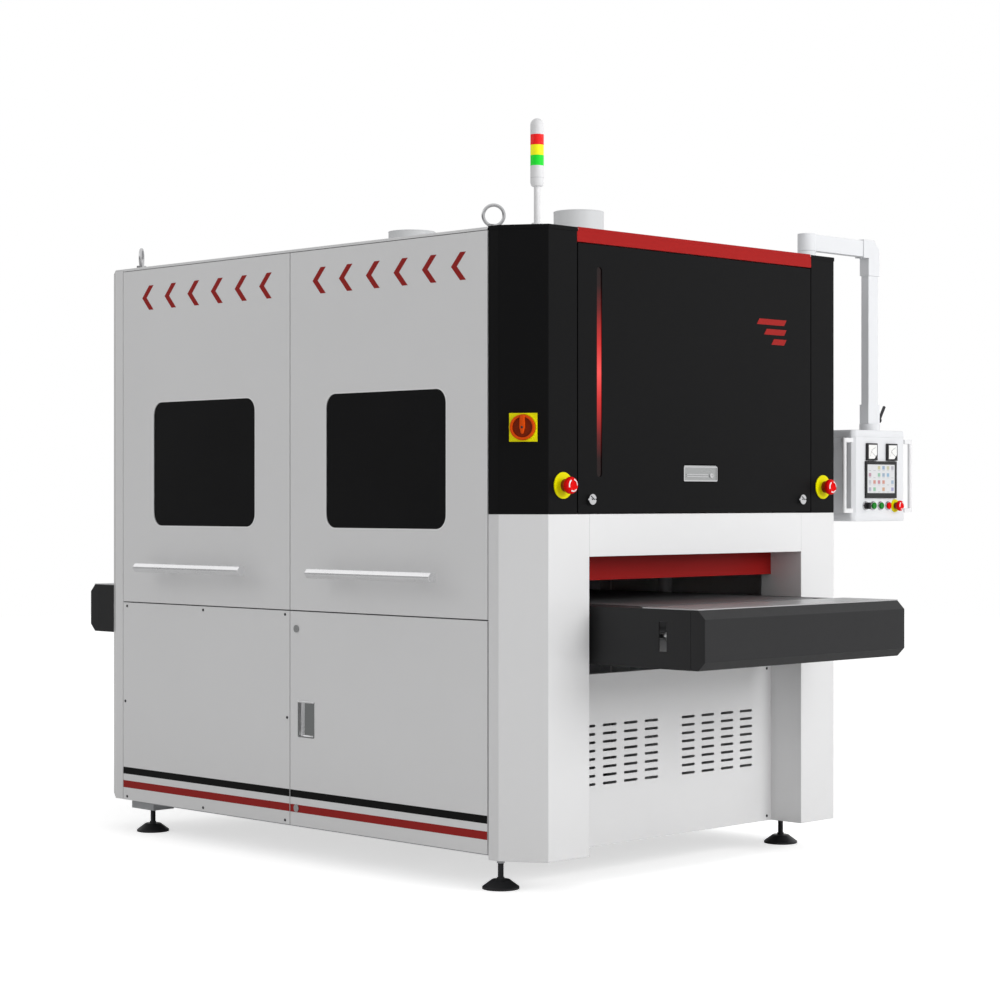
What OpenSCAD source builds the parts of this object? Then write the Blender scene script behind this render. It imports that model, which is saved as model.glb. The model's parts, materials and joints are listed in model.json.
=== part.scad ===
// Through-feed edge rounding machine for sheet metal, drawn in millimetres.
// X runs across the feed, Y along it, Z up; the origin is on the floor under the middle of the outline.

/* [Body] */
// Width of the body across the feed
body_w = 1643; // [1560:1:1760]
// Depth of the body along the feed
body_d = 2311; // [2240:1:2500]
// Height of the body from the lower edge of its posts to the roof
body_h = 2001; // [1980:1:2100]
// Level of the seam between the dark upper body and the light lower body
split_z = 1092; // [1080:1:1110]
// Chamfer at each corner post, measured across the feed
cham_x = 88; // [70:1:100]
// Chamfer at each corner post, measured along the feed
cham_y = 134.4; // [110:0.1:150]
// Depth of each corner post along the feed
post_d = 180; // [170:1:195]
// Width of the lower corner posts
leg_w = 276; // [270:1:285]
// Width of the upper front pillars
pillar_w = 219; // [205:1:240]
// Wall of the folded corner posts
post_wall = 4; // [3:0.5:6]
// Thickness of the roof plate
roof_t = 5; // [3:0.5:8]
// Visible gap between neighbouring panels and doors
seam = 4; // [3.5:0.5:6]

/* [Panels and doors] */
// Sheet thickness of the folded panels and doors
sheet = 3; // [2:0.5:4]
// Depth of the folded edge of each door
door_fold = 30; // [26:1:34]
// Distance from the outer face to the inner frame
seat = 40; // [39:1:48]
// Lower edge of the side panels
panel_low = 16.5; // [12:0.5:30]
// Level of the seam between the upper doors and the lower panels
mid_z = 756; // [740:1:790]
// Distance of a hinge axis from the edge of its door
hinge_in = 20; // [18:1:24]
// Distance of a hinge axis from the outer face of its door
hinge_deep = 10; // [9.5:0.5:10.5]
// Width of each side window
window_w = 590; // [500:1:650]
// Height of each side window
window_h = 453; // [400:1:560]
// Lower edge of the side windows
window_z = 1043; // [1000:1:1100]
// Corner radius of the side windows
window_r = 45; // [20:1:80]
// Thickness of the window panes
pane_t = 6; // [4:0.5:8]
// Height of the red header strip above the front door
header_h = 39; // [34:1:50]

/* [Door handles] */
// Length of the side door handles
handle_l = 612; // [500:1:700]
// Height of the handle bar
handle_h = 32; // [26:1:40]
// Level of the middle of the handle bar
handle_z = 889; // [860:1:920]
// Reach of the handle from the door
handle_reach = 88; // [75:1:100]
// Depth of the handle bar
handle_d = 32; // [24:1:36]
// Distance between the two standoffs of a handle
handle_span = 368; // [300:1:440]
// Width of a handle standoff
standoff_w = 24; // [16:1:32]

/* [Front details] */
// Distance of the light slot from the side plane
led_x = 323; // [300:1:360]
// Width of the light slot
led_w = 24; // [16:1:30]
// Lower end of the light slot
led_low = 1210; // [1190:1:1260]
// Upper end of the light slot
led_high = 1883; // [1700:1:1900]
// Distance of each turn knob from the side plane
knob_x = 279; // [270:1:300]
// Level of the turn knobs
knob_z = 1139; // [1130:1:1150]
// Radius of a turn knob
knob_r = 17; // [14:1:20]
// Width of the latch plate
latch_w = 167; // [120:1:200]
// Height of the latch plate
latch_h = 59; // [48:1:70]
// Level of the middle of the latch plate
latch_z = 1226.5; // [1200:0.5:1260]
// Distance of each emergency stop from the side plane
stop_x = 153; // [140:1:165]
// Level of the emergency stops on the pillars
stop_z = 1183; // [1150:1:1300]
// Level of the mains switch on the chamfer
mains_z = 1365; // [1200:1:1600]
// Side of the square mains switch plate
mains_w = 90; // [80:1:100]

/* [Portal] */
// Lower edge of the lintel over the feed opening
lintel_z = 956; // [950:1:980]
// Distance of the recessed louvre panel behind the front plane
recess_y = 135; // [120:1:150]
// Height of the recessed louvre panel
louvre_panel_h = 566; // [540:1:590]
// Lower edge of the guard bar over the feed opening
guard_z = 874; // [872:1:900]

/* [Conveyor table] */
// Level of the belt
belt_z = 800; // [797:1:802]
// Width of the table over its side beams
table_w = 1039; // [1020:1:1060]
// Reach of the table beyond the body at each end
table_over = 458; // [440:1:520]
// Height of the side beams
beam_h = 187; // [185:1:195]
// Chamfer of the table noses
nose_cham = 28; // [18:1:40]
// Depth of a table nose
nose_d = 58; // [50:1:70]
// Width of the beam flanges
flange_w = 73; // [60:1:76]
// Radius of the belt around its rollers
belt_r = 88; // [80:1:89]
// Thickness of the belt
belt_t = 5; // [3:0.5:8]
// Distance of the roller axes beyond the body
roller_over = 112; // [100:1:130]

/* [Work head] */
// Clear height under the work head at rest
work_gap = 62; // [60:1:66]
// Radius of the carousel plate
carousel_r = 350; // [300:1:360]
// Radius of one brush disc
brush_r = 140; // [110:1:145]
// Number of brush discs
brush_n = 4; // [3:1:4]
// Radius of the lift columns
column_r = 25; // [20:1:30]
// Radius of the hold-down rollers
press_r = 45; // [40:1:50]

/* [Feet and roof] */
// Height of the lower edge of the posts above the floor
foot_h = 108; // [95:1:125]
// Radius of a foot pad
foot_r = 60; // [45:1:70]
// Distance of the feet from the side plane
foot_x = 104; // [100:1:120]
// Distance of the feet from the front and rear planes
foot_y = 228; // [222:1:260]
// Outer radius of the exhaust spigots
spigot_r = 88.5; // [75:0.5:100]
// Height of the exhaust spigots above the roof
spigot_h = 149; // [100:1:200]
// Distance of the first exhaust spigot in front of the middle of the body
spigot_ahead = 595.5; // [570:0.5:640]
// Distance between the exhaust spigots
spigot_step = 865; // [760:1:960]
// Radius of a lifting ring to the middle of its wire
ring_r = 33; // [28:1:40]
// Radius of the wire of a lifting ring
wire_r = 5.5; // [4:0.5:7]
// Distance of the lifting rings from the side planes
ring_x = 35; // [30:1:45]

/* [Signal tower] */
// Distance of the signal tower from the side plane
tower_x = 123; // [110:1:140]
// Distance of the signal tower behind the front plane
tower_y = 84; // [70:1:100]
// Height of the tower pole above the roof
pole_h = 139; // [100:1:200]
// Radius of the lenses
lens_r = 21.5; // [18:0.5:26]
// Height of one lens
lens_h = 33; // [26:1:40]

/* [Control pendant] */
// Distance of the pendant base from the right side plane
base_in = 117; // [103:1:128]
// Distance of the pendant arm behind the front plane
pend_y = 98.5; // [90:0.5:110]
// Distance from the base to the hanging tube
arm_reach = 378; // [370:1:420]
// Height of the arm section
arm_w = 59; // [50:1:64]
// Depth of the arm section
arm_d = 33; // [28:1:40]
// Middle of the arm above the roof
arm_rise = 62; // [58:1:75]
// Width of the control box
box_w = 320; // [300:1:340]
// Height of the control box
box_h = 333; // [320:1:350]
// Depth of the control box
box_d = 150; // [130:1:170]
// Upper face of the control box
box_top = 1393; // [1380:1:1420]

/* [Hidden] */
$fn = 48;

// Clearances
// overrun of every cut past the face it opens
cut = 1;
// radial running fit of a shaft, pin or spindle in its bore
run_fit = 0.05;
// air between neighbouring pieces that move or are set apart
air = 0.3;

// Levels and places of the body
roof_z = body_h - roof_t;
mid_y = body_d / 2;
base_x = body_w - base_in;
pend_x = base_x + arm_reach;
grip_reach = 51;
x_low = -handle_reach;
x_high = pend_x + box_w / 2 + grip_reach;
mid_x = (x_low + x_high) / 2;

// Side bays between the corner posts, one behind the other
bay_w = (body_d - 2 * post_d - 3 * seam) / 2;
upper_low = mid_z + seam / 2;
upper_h = roof_z - 1.5 * seam - upper_low;
lower_h = mid_z - seam / 2 - panel_low;
function bay_y(i) = post_d + seam + i * (bay_w + seam);

// Front door between the pillars
front_door_x = pillar_w + seam;
front_door_w = body_w - 2 * front_door_x;
front_door_z = split_z + seam;
front_door_h = roof_z - header_h - seam - front_door_z;

// Hinges: a barrel on the door turns on a pin held by two cheeks of the frame, which leave room for its edge
barrel_r = 6;
pin_r = 3;
barrel_l = 60;
cheek_t = 8;
cheek_half = 4;
hinge_shares = [0.18, 0.82];

// Fastener of the panels
screw_r = 2.6;
screw_hole_r = 3;
screw_head_r = 5;
screw_head_h = 2;
screw_in_u = 24;
screw_in_v = 13;

// Base frame and feet
rail_w = 80;
rail_low = 0;
rail_top = 68;
cross_w = 80;
socket_r = 13;
socket_h = 26;
block_in = 30;
block_l = 96;
block_ahead = 43;
block_behind = 92;
pad_edge = 7;
pad_top_r = 29;
pad_top = 30;
collar_r = 12;
collar_top = 37;
stem_r = 9;
stem_in = 60;
nut_r = 16;
nut_h = 14;

// Inner frame
frame_w = 60;
column_ahead = 455.5;
column_y = mid_y - column_ahead;
spigot_y = mid_y - spigot_ahead;
cross_beam_z = 1880;
cross_beam_h = 60;
stand_w = 60;
column_ys = [column_y, body_d - column_y];
cross_ys = [column_y, mid_y, body_d - column_y];

// Louvres of the recessed panels
slot_l = 68;
slot_h = 9;
slot_pitch = 103.5;
row_pitch = 27.4;
row_low = 200;
group_x = 106;
slot_rows = 8;
slot_cols = floor((body_w / 2 - leg_w - group_x + slot_pitch - slot_l) / slot_pitch);

// Guard bars over the feed openings
guard_t = 6;
guard_lap = 84;
guard_hem = 15;

// Conveyor table
beam_t = 5;
end_plate_t = 3;
end_plate_rise = 1;
beam_top = belt_z + end_plate_rise - end_plate_t;
beam_low = beam_top - beam_h;
table_x = (body_w - table_w) / 2;
column_x = (seat + frame_w + table_x) / 2;
roller_z = belt_z - belt_r;
shaft_r = 20;
belt_gap = 3;
belt_x = table_x + flange_w + belt_gap;
belt_w = body_w - 2 * belt_x;
window_slot_y = -286;
window_slot_w = 32;
window_slot_h = 93;
window_slot_z = 712;
block_half = 45;
block_w = 38;
tension_r = 8;
tension_nut_r = 14;
tension_nut_h = 14;
bracket_y = -320;
bracket_t = 8;
bracket_half = 22;
bed_t = 6;
rib_w = 60;
rib_h = 48;
rib_n = 5;
gearbox_w = 110;
gearbox_half = 75;
motor_r = 65;
motor_l = 240;
motor_out = 12;

// Work head that rises and sinks on four columns
head_low = belt_z + work_gap;
brush_h = 136;
brush_stub_r = 15;
brush_stub_h = 100;
brush_gap = 5;
brush_bore_share = 1 / 3;
brush_slot_share = 1 / 20;
brush_cut_share = 0.7;
brush_slots = 12;
brush_ring = (brush_r + brush_gap) / sin(180 / brush_n);
carousel_t = 30;
spindle_r = 40;
carousel_low = head_low + brush_h + brush_stub_h;
housing_low = carousel_low + carousel_t + 50;
housing_h = 180;
housing_r = 90;
plate_z = housing_low + 80;
plate_t = 20;
plate_margin = 60;
guide_r = 45;
guide_drop = 80;
guide_h = 170;
head_motor_r = 130;
head_motor_h = 260;
press_shaft_r = 15;
press_y = 480;
press_x = 384;
hanger_x = 360;
hanger_t = 20;
hanger_half = 30;
hanger_low = 27;
duct_drop = 280;

// Roof pieces
spigot_wall = 2.5;
spigot_flange = 22;
spigot_flange_t = 4;
ring_seat_r = 18;
ring_seat_h = 10;
ring_front_y = 191;
ring_rear_y = 250;

// Signal tower
tower_flange_r = 17.5;
tower_flange_h = 13;
pole_r = 10.3;
tower_base_h = 55;
core_r = 8;
dome_h = 52;

// Push buttons and switches
stop_collar_r = 42;
stop_collar_t = 3;
stop_neck_r = 18;
stop_neck_h = 17;
stop_cap_r = 27;
stop_cap_h = 22;
stop_stem_r = 10;
stop_travel = 5;
small_collar_r = 23;
small_neck_r = 11;
small_neck_h = 11;
small_cap_r = 19;
small_cap_h = 16;
small_stem_r = 5.5;
small_travel = 4;
mains_t = 4;
mains_ring_r = 44.5;
mains_ring_h = 10;
mains_knob_r = 40;
mains_knob_h = 12;
mains_dish_r = 32;
mains_dish_d = 8;
mains_bar_w = 17;
mains_bar_h = 3;
mains_bar_up = 39;
mains_bar_down = 21;
mains_pin_r = 5;

// Front door fittings
led_lap = 6;
led_t = 8;
knob_head_h = 12;
knob_stem_r = 10;
knob_stem_l = 24;
knob_slot_w = 5;
knob_slot_h = 4;
tongue_w = 14;
tongue_l = 34;
tongue_t = 4;
paddle_air = 2;
paddle_t = 4;
paddle_pin_r = 2;
paddle_pin_l = 6;
pan_d = 18;

// Service door
pull_w = 82;
pull_h = 122;
pull_y = 84.5;
pull_z = 385;
pull_d = 22;
lock_r = 11;
lock_head_r = 13;
lock_head_h = 3;
lock_l = 18;
lock_in = 34;
lock_margin = 60;
lock_tongue_l = 24;
lock_tongue_w = 12;
lock_tongue_t = 3;
lock_slot_w = 1.5;
lock_slot_d = 1.5;

// Control pendant
base_r = 33;
base_gap = 3;
swivel_r = 15;
swivel_h = 48;
arm_mid_z = body_h + arm_rise;
elbow_x = 4;
elbow_drop = 68;
elbow_lap = 6;
sleeve_low = box_top + 26;
sleeve_h = 71;
sleeve_w = 70;
sleeve_d = 40;
box_collar_r = 38;
box_pivot_r = 14;
box_pivot_h = 50;
box_front = pend_y - 46.5;
box_edge = 14;
box_edge_d = 12;
box_low = box_top - box_h;
lever_stud_r = 5;
lever_stud_l = 14;
lever_y = -13;
lever_z = 14;
lever_l = 64;
lever_t = 8;
lever_hub_r = 10;
lever_lean = 33;
grip_r = 8;
grip_inset = 30;
grip_y = 11;
meter_w = 62;
meter_h = 63;
meter_t = 10;
meter_x = 62;
meter_shift = 4;
meter_drop = 79;
screen_w = 190;
screen_h = 136;
screen_t = 8;
screen_drop = 181;
button_drop = 277;
button_r = 12;
button_h = 12;
button_travel = 3;
button_step = 46;
button_first = -92;
button_hole_d = 16;
selector_bar_w = 9;

// The machine is drawn from its left side plane and its front plane, then set on the floor
module placed() translate([-mid_x, -mid_y, foot_h]) children();
module both_sides() {
    children();
    translate([body_w, 0, 0]) mirror([1, 0, 0]) children();
}
module both_ends() {
    children();
    translate([0, body_d, 0]) mirror([0, 1, 0]) children();
}

// A flat shape drawn in X and Z and given a thickness along Y
module upright(t) rotate([90, 0, 0]) translate([0, 0, -t]) linear_extrude(t) children();
// A flat shape drawn in Y and Z and given a length along X
module across(l) rotate([90, 0, 90]) linear_extrude(l) children();
module rod_x(r, l) rotate([0, 90, 0]) cylinder(r = r, h = l);
module rod_y(r, l) rotate([-90, 0, 0]) cylinder(r = r, h = l);
module rounded(w, h, r) {
    square([w - 2 * r, h], center = true);
    square([w, h - 2 * r], center = true);
    for (x = [-1, 1], y = [-1, 1]) translate([x * (w / 2 - r), y * (h / 2 - r)]) circle(r);
}

// The local frame of a panel: X along it, Z up, Y into the machine from its outer face
module on_left(y, w, z) translate([0, y + w, z]) rotate([0, 0, -90]) children();
module on_right(y, z) translate([body_w, y, z]) rotate([0, 0, 90]) children();
module on_chamfer(z) translate([cham_x / 2, cham_y / 2, z]) rotate([0, 0, -atan2(cham_y, cham_x)]) children();
module service_frame() on_left(bay_y(0), bay_w, panel_low) translate([0, 0, lower_h]) rotate([0, 90,
    0]) children();

// Plan of a corner post and its wall
cham_l = sqrt(cham_x * cham_x + cham_y * cham_y);
cham_area = cham_x * cham_y + post_wall * cham_l;
module post_plan(w) polygon([[0, post_d], [0, cham_y], [cham_x, 0], [w, 0], [w, post_d]]);
module post_core(w) polygon([
    [post_wall, post_d - post_wall],
    [post_wall, (cham_area - cham_y * post_wall) / cham_x],
    [(cham_area - cham_x * post_wall) / cham_y, post_wall],
    [w - post_wall, post_wall],
    [w - post_wall, post_d - post_wall]
]);
module post(w, low, high) translate([0, 0, low]) difference() {
    linear_extrude(high - low) post_plan(w);
    translate([0, 0, -cut]) linear_extrude(high - low + 2 * cut) post_core(w);
}

// A folded sheet panel with its return edges, open at the back
module tray(w, h, d) difference() {
    cube([w, d, h]);
    translate([sheet, sheet, sheet]) cube([w - 2 * sheet, d, h - 2 * sheet]);
}
// A door has no fold along its hinge edge, which is its upper one here
module door_tray(w, h) difference() {
    cube([w, door_fold, h]);
    translate([sheet, sheet, sheet]) cube([w - 2 * sheet, door_fold, h]);
}
module at_hinges(w, h) for (s = hinge_shares)
    translate([s * w - barrel_l / 2, hinge_deep, h - hinge_in]) children();
module hinged_door(w, h) difference() {
    union() {
        door_tray(w, h);
        at_hinges(w, h) {
            rod_x(barrel_r, barrel_l);
            translate([0, sheet - hinge_deep - cut / 2, -barrel_r])
                cube([barrel_l, hinge_deep - sheet + cut / 2, 2 * barrel_r]);
        }
    }
    at_hinges(w, h) translate([-cut, 0, 0]) rod_x(pin_r + run_fit, barrel_l + 2 * cut);
}
// Pin and cheeks for the same door, reaching back to the inner frame
module hinge_pins(w, h) at_hinges(w, h) {
    translate([-air - cheek_t, 0, 0]) rod_x(pin_r, barrel_l + 2 * (air + cheek_t));
    for (x = [-air - cheek_t, barrel_l + air]) translate([x, 0, 0]) {
        rod_x(cheek_half, cheek_t);
        translate([0, 0, -2 * cheek_half]) cube([cheek_t, seat - hinge_deep + cut, 2 * cheek_half]);
    }
}

// Screw places on a fixed panel: the corners and the middle of each edge
function screw_spots(w, h) = [
    for (u = [screw_in_u, w / 2, w - screw_in_u], v = [screw_in_v, h - screw_in_v]) [u, v],
    for (u = [screw_in_v, w - screw_in_v]) [u, h / 2]
];
module fixed_panel(w, h) difference() {
    tray(w, h, seat);
    for (p = screw_spots(w, h)) translate([p[0], -cut, p[1]]) rod_y(screw_hole_r, sheet + 2 * cut);
}
module screws(spots) for (p = spots) translate([p[0], 0, p[1]]) {
    translate([0, -screw_head_h, 0]) rod_y(screw_head_r, screw_head_h);
    translate([0, -cut / 2, 0]) rod_y(screw_r, sheet + cut / 2);
}

// Base
foot_ys = [foot_y, body_d - foot_y];
module base_rails() color("gainsboro") placed() both_sides() difference() {
    union() {
        translate([foot_x - rail_w / 2, post_d, rail_low])
            cube([rail_w, body_d - 2 * post_d, rail_top - rail_low]);
        for (y = foot_ys) translate([foot_x, y, rail_low - socket_h]) cylinder(r = socket_r,
            h = socket_h + cut);
        translate([foot_x - block_in, foot_ys[1] - block_ahead, rail_low - socket_h])
            cube([block_l, block_ahead + block_behind, socket_h]);
    }
    translate([foot_x - rail_w / 2 + post_wall, post_d - cut, rail_low + post_wall])
        cube([rail_w - 2 * post_wall, body_d - 2 * post_d + 2 * cut, rail_top - rail_low - 2 * post_wall]);
    for (y = foot_ys) translate([foot_x, y, rail_low - socket_h - cut])
        cylinder(r = stem_r + run_fit, h = socket_h + post_wall + 2 * cut);
}
module base_crossbars() color("gainsboro") placed() for (y = cross_ys) difference() {
    translate([foot_x + rail_w / 2, y - cross_w / 2, rail_low])
        cube([body_w - 2 * foot_x - rail_w, cross_w, rail_top - rail_low]);
    translate([foot_x + rail_w / 2 - cut, y - cross_w / 2 + post_wall, rail_low + post_wall])
        cube([body_w - 2 * foot_x - rail_w + 2 * cut, cross_w - 2 * post_wall,
            rail_top - rail_low - 2 * post_wall]);
}
module levelling_feet() color("dimgray") placed()
    both_ends() both_sides() translate([foot_x, foot_y, -foot_h]) {
        cylinder(r = foot_r, h = pad_edge);
        translate([0, 0, pad_edge]) cylinder(r1 = foot_r, r2 = pad_top_r, h = pad_top - pad_edge);
        translate([0, 0, pad_top]) cylinder(r = collar_r, h = collar_top - pad_top);
        cylinder(r = stem_r, h = foot_h + rail_low + stem_in);
        translate([0, 0, foot_h + rail_low + post_wall]) cylinder(r = nut_r, h = nut_h, $fn = 6);
    }

// Portal and posts
module front_legs() color("whitesmoke") placed() both_sides() post(leg_w, 0, split_z);
module lintels() color("whitesmoke") placed() both_ends() difference() {
    translate([leg_w, 0, lintel_z]) cube([body_w - 2 * leg_w, recess_y, split_z - lintel_z]);
    translate([leg_w - cut, post_wall, lintel_z + post_wall])
        cube([body_w - 2 * leg_w + 2 * cut, recess_y - 2 * post_wall, split_z - lintel_z - 2 * post_wall]);
}
module front_pillars() color("#1d1d1f") placed() both_sides() post(pillar_w, split_z, roof_z);
module rear_posts() color("whitesmoke") placed()
    translate([0, body_d, 0]) mirror([0, 1, 0]) both_sides() post(leg_w, panel_low, roof_z);

// Louvred panels, a slot being a bar with round ends
module slot_plan() {
    square([slot_l - slot_h, slot_h], center = true);
    for (x = [-1, 1]) translate([x * (slot_l - slot_h) / 2, 0]) circle(slot_h / 2);
}
module louvre_group() for (c = [0 : slot_cols - 1], r = [0 : slot_rows - 1])
    translate([slot_l / 2 + c * slot_pitch, slot_h / 2 + r * row_pitch]) slot_plan();
louvre_w = body_w - 2 * leg_w;
group_w = (slot_cols - 1) * slot_pitch + slot_l;
function louvre_spots() = [
    for (u = [screw_in_u, louvre_w - screw_in_u], v = [panel_low, louvre_panel_h - 2 * screw_in_v]) [u, v]
];
module louvre_panel() difference() {
    union() {
        cube([louvre_w, sheet, louvre_panel_h]);
        translate([0, 0, louvre_panel_h - sheet]) cube([louvre_w, seat, sheet]);
    }
    translate([0, -cut, 0]) upright(sheet + 2 * cut) {
        translate([group_x, row_low]) louvre_group();
        translate([louvre_w - group_x - group_w, row_low]) louvre_group();
    }
    for (p = louvre_spots()) translate([p[0], -cut, p[1]]) rod_y(screw_hole_r, sheet + 2 * cut);
}
head_panel_h = roof_z - split_z;
module at_rear_head() translate([body_w - leg_w, body_d, split_z]) rotate([0, 0, 180]) children();
module end_panels() color("whitesmoke") placed() {
    both_ends() translate([leg_w, recess_y, 0]) louvre_panel();
    at_rear_head() fixed_panel(louvre_w, head_panel_h);
}
module side_panels() color("whitesmoke") placed() {
    on_left(bay_y(1), bay_w, panel_low) fixed_panel(bay_w, lower_h);
    for (i = [0, 1]) {
        on_right(bay_y(i), panel_low) fixed_panel(bay_w, lower_h);
        on_right(bay_y(i), upper_low) fixed_panel(bay_w, upper_h);
    }
}
module panel_screws() color("#303033") placed() {
    both_ends() translate([leg_w, recess_y, 0]) screws(louvre_spots());
    at_rear_head() screws(screw_spots(louvre_w, head_panel_h));
    on_left(bay_y(1), bay_w, panel_low) screws(screw_spots(bay_w, lower_h));
    for (i = [0, 1]) {
        on_right(bay_y(i), panel_low) screws(screw_spots(bay_w, lower_h));
        on_right(bay_y(i), upper_low) screws(screw_spots(bay_w, upper_h));
    }
}

// Inner frame: side rails and posts behind the doors, cross beams, lift columns and table stands
module inner_frame() color("silver") placed() {
    both_sides() {
        translate([seat, post_d, roof_z - frame_w]) cube([frame_w, body_d - 2 * post_d, frame_w]);
        translate([seat, mid_y - frame_w / 2, rail_top]) cube([frame_w, frame_w,
            roof_z - frame_w - rail_top - air]);
        for (y = [post_d, mid_y + frame_w / 2 + air])
            translate([seat, y, mid_z - frame_w / 2])
                cube([frame_w, mid_y - frame_w / 2 - air - post_d, frame_w]);
        for (y = column_ys) translate([column_x, y, rail_top])
            cylinder(r = column_r, h = cross_beam_z - rail_top - air);
        for (y = cross_ys) translate([table_x, y - stand_w / 2, rail_top])
            cube([stand_w, stand_w, beam_low - rail_top]);
    }
    for (y = column_ys) translate([seat + frame_w + air, y - cross_beam_h / 2, cross_beam_z])
        cube([body_w - 2 * (seat + frame_w + air), cross_beam_h, cross_beam_h]);
    translate([pillar_w + air, seat, front_door_z + front_door_h - frame_w])
        cube([body_w - 2 * (pillar_w + air), frame_w, frame_w]);
    translate([seat, post_d, rail_top]) cube([frame_w, frame_w, mid_z - frame_w / 2 - rail_top - air]);
    for (i = [0, 1]) on_left(bay_y(i), bay_w, upper_low) hinge_pins(bay_w, upper_h);
    translate([front_door_x, 0, front_door_z]) hinge_pins(front_door_w, front_door_h);
    service_frame() hinge_pins(lower_h, bay_w);
}

// Roof
module roof_panel() color("whitesmoke") placed() translate([0, 0, roof_z]) difference() {
    linear_extrude(roof_t) polygon([
        [0, cham_y], [cham_x, 0], [body_w - cham_x, 0], [body_w, cham_y],
        [body_w, body_d - cham_y], [body_w - cham_x, body_d], [cham_x, body_d], [0, body_d - cham_y]
    ]);
    for (i = [0, 1]) translate([body_w / 2, spigot_y + i * spigot_step, -cut])
        cylinder(r = spigot_r + air, h = roof_t + 2 * cut);
}
module exhaust_spigots() color("gainsboro") placed()
    for (i = [0, 1]) translate([body_w / 2, spigot_y + i * spigot_step, body_h]) difference() {
        union() {
            translate([0, 0, -duct_drop]) cylinder(r = spigot_r, h = duct_drop + spigot_h);
            cylinder(r = spigot_r + spigot_flange, h = spigot_flange_t);
        }
        translate([0, 0, -duct_drop - cut]) cylinder(r = spigot_r - spigot_wall,
            h = duct_drop + spigot_h + 2 * cut);
    }
module lifting_eye(turn) rotate([0, 0, turn]) {
    cylinder(r = ring_seat_r, h = ring_seat_h);
    translate([0, 0, ring_r + wire_r + air]) rotate([90, 0, 0]) rotate_extrude() translate([ring_r, 0])
        circle(wire_r);
}
module lifting_eyes() color("gray") placed() for (x = [ring_x, body_w - ring_x]) {
    translate([x, ring_front_y, body_h]) lifting_eye(x < mid_x ? -45 : 45);
    translate([x, body_d - ring_rear_y, body_h]) lifting_eye(45);
}
module red_bars() color("#8a1f20") placed() {
    difference() {
        translate([pillar_w, 0, roof_z - header_h]) cube([body_w - 2 * pillar_w, door_fold, header_h]);
        translate([pillar_w - cut, sheet, roof_z - header_h + sheet])
            cube([body_w - 2 * pillar_w + 2 * cut, door_fold - 2 * sheet, header_h - 2 * sheet]);
    }
    both_ends() translate([leg_w, recess_y, guard_z]) {
        cube([louvre_w, guard_t, lintel_z - guard_z + guard_lap]);
        cube([louvre_w, guard_hem, guard_t]);
    }
}

// Conveyor table
module beam_profile() difference() {
    translate([table_x, beam_low]) square([flange_w, beam_h]);
    translate([table_x + beam_t, beam_low + beam_t]) square([flange_w, beam_h - 2 * beam_t]);
}
beam_y = nose_d - table_over;
drive_y = body_d + roller_over;
module table_beams() color("#26262a") placed() difference() {
    both_sides() translate([0, beam_y, 0]) difference() {
        rotate([90, 0, 0]) translate([0, 0, 2 * beam_y - body_d]) linear_extrude(body_d - 2 * beam_y)
            beam_profile();
        for (y = [window_slot_y, body_d - window_slot_y])
            translate([table_x - cut, y - beam_y - window_slot_w / 2, window_slot_z - window_slot_h / 2])
                cube([beam_t + 2 * cut, window_slot_w, window_slot_h]);
    }
    translate([body_w - table_x - beam_t - cut, drive_y, roller_z]) rod_x(shaft_r + air, beam_t + 2 * cut);
}
module nose_profile(inset) polygon([
    [inset - table_over, beam_low + nose_cham], [inset - table_over, beam_top - nose_cham],
    [nose_cham - table_over, beam_top - inset], [nose_d - table_over - inset, beam_top - inset],
    [nose_d - table_over - inset, beam_low + inset], [nose_cham - table_over, beam_low + inset]
]);
module table_noses() color("#26262a") placed() both_ends() translate([table_x, 0, 0]) difference() {
    across(table_w) nose_profile(0);
    translate([beam_t, 0, 0]) across(table_w - 2 * beam_t) nose_profile(beam_t);
}
module table_bed() color("silver") placed() {
    both_ends() translate([table_x, nose_cham - table_over, beam_top])
        cube([table_w, table_over - nose_cham - roller_over - belt_r - belt_gap, end_plate_t]);
    translate([belt_x, 0, belt_z - belt_t - air - bed_t]) cube([belt_w, body_d, bed_t]);
    for (i = [0 : rib_n - 1])
        translate([table_x + beam_t + air, i * (body_d - rib_w) / (rib_n - 1),
            belt_z - belt_t - air - bed_t - rib_h])
            cube([table_w - 2 * (beam_t + air), rib_w, rib_h]);
}
module belt_loop(r) {
    translate([-roller_over, roller_z - r]) square([body_d + 2 * roller_over, 2 * r]);
    for (y = [-roller_over, drive_y]) translate([y, roller_z]) circle(r);
}
module conveyor_belt() color("#3a3a3d") placed() translate([belt_x, 0, 0]) difference() {
    across(belt_w) belt_loop(belt_r);
    translate([-cut, 0, 0]) across(belt_w + 2 * cut) belt_loop(belt_r - belt_t);
}
shaft_x = table_x + beam_t + air;
module belt_roller(y, right_end) translate([0, y, roller_z]) {
    translate([belt_x, 0, 0]) rod_x(belt_r - belt_t - air, belt_w);
    translate([shaft_x, 0, 0]) rod_x(shaft_r, right_end - shaft_x);
}
module drive_roller() color("silver") placed() belt_roller(drive_y, body_w - table_x + gearbox_w / 2);
module idler_roller() color("silver") placed() belt_roller(-roller_over, body_w - shaft_x);
module belt_tensioners() color("lightgray") placed() both_ends() both_sides()
    translate([table_x + beam_t, 0, roller_z]) difference() {
        union() {
            translate([0, -roller_over - block_half, -block_half]) cube([block_w, 2 * block_half,
                2 * block_half]);
            translate([0, bracket_y, -bracket_half]) cube([block_w, bracket_t, 2 * bracket_half]);
            translate([block_w / 2, bracket_y, 0]) rod_y(tension_r, -bracket_y - roller_over);
            translate([block_w / 2, window_slot_y - tension_nut_h / 2, 0]) rod_y(tension_nut_r,
                tension_nut_h, $fn = 6);
        }
        translate([-cut, -roller_over, 0]) rod_x(shaft_r + run_fit, block_w + 2 * cut);
    }
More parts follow.
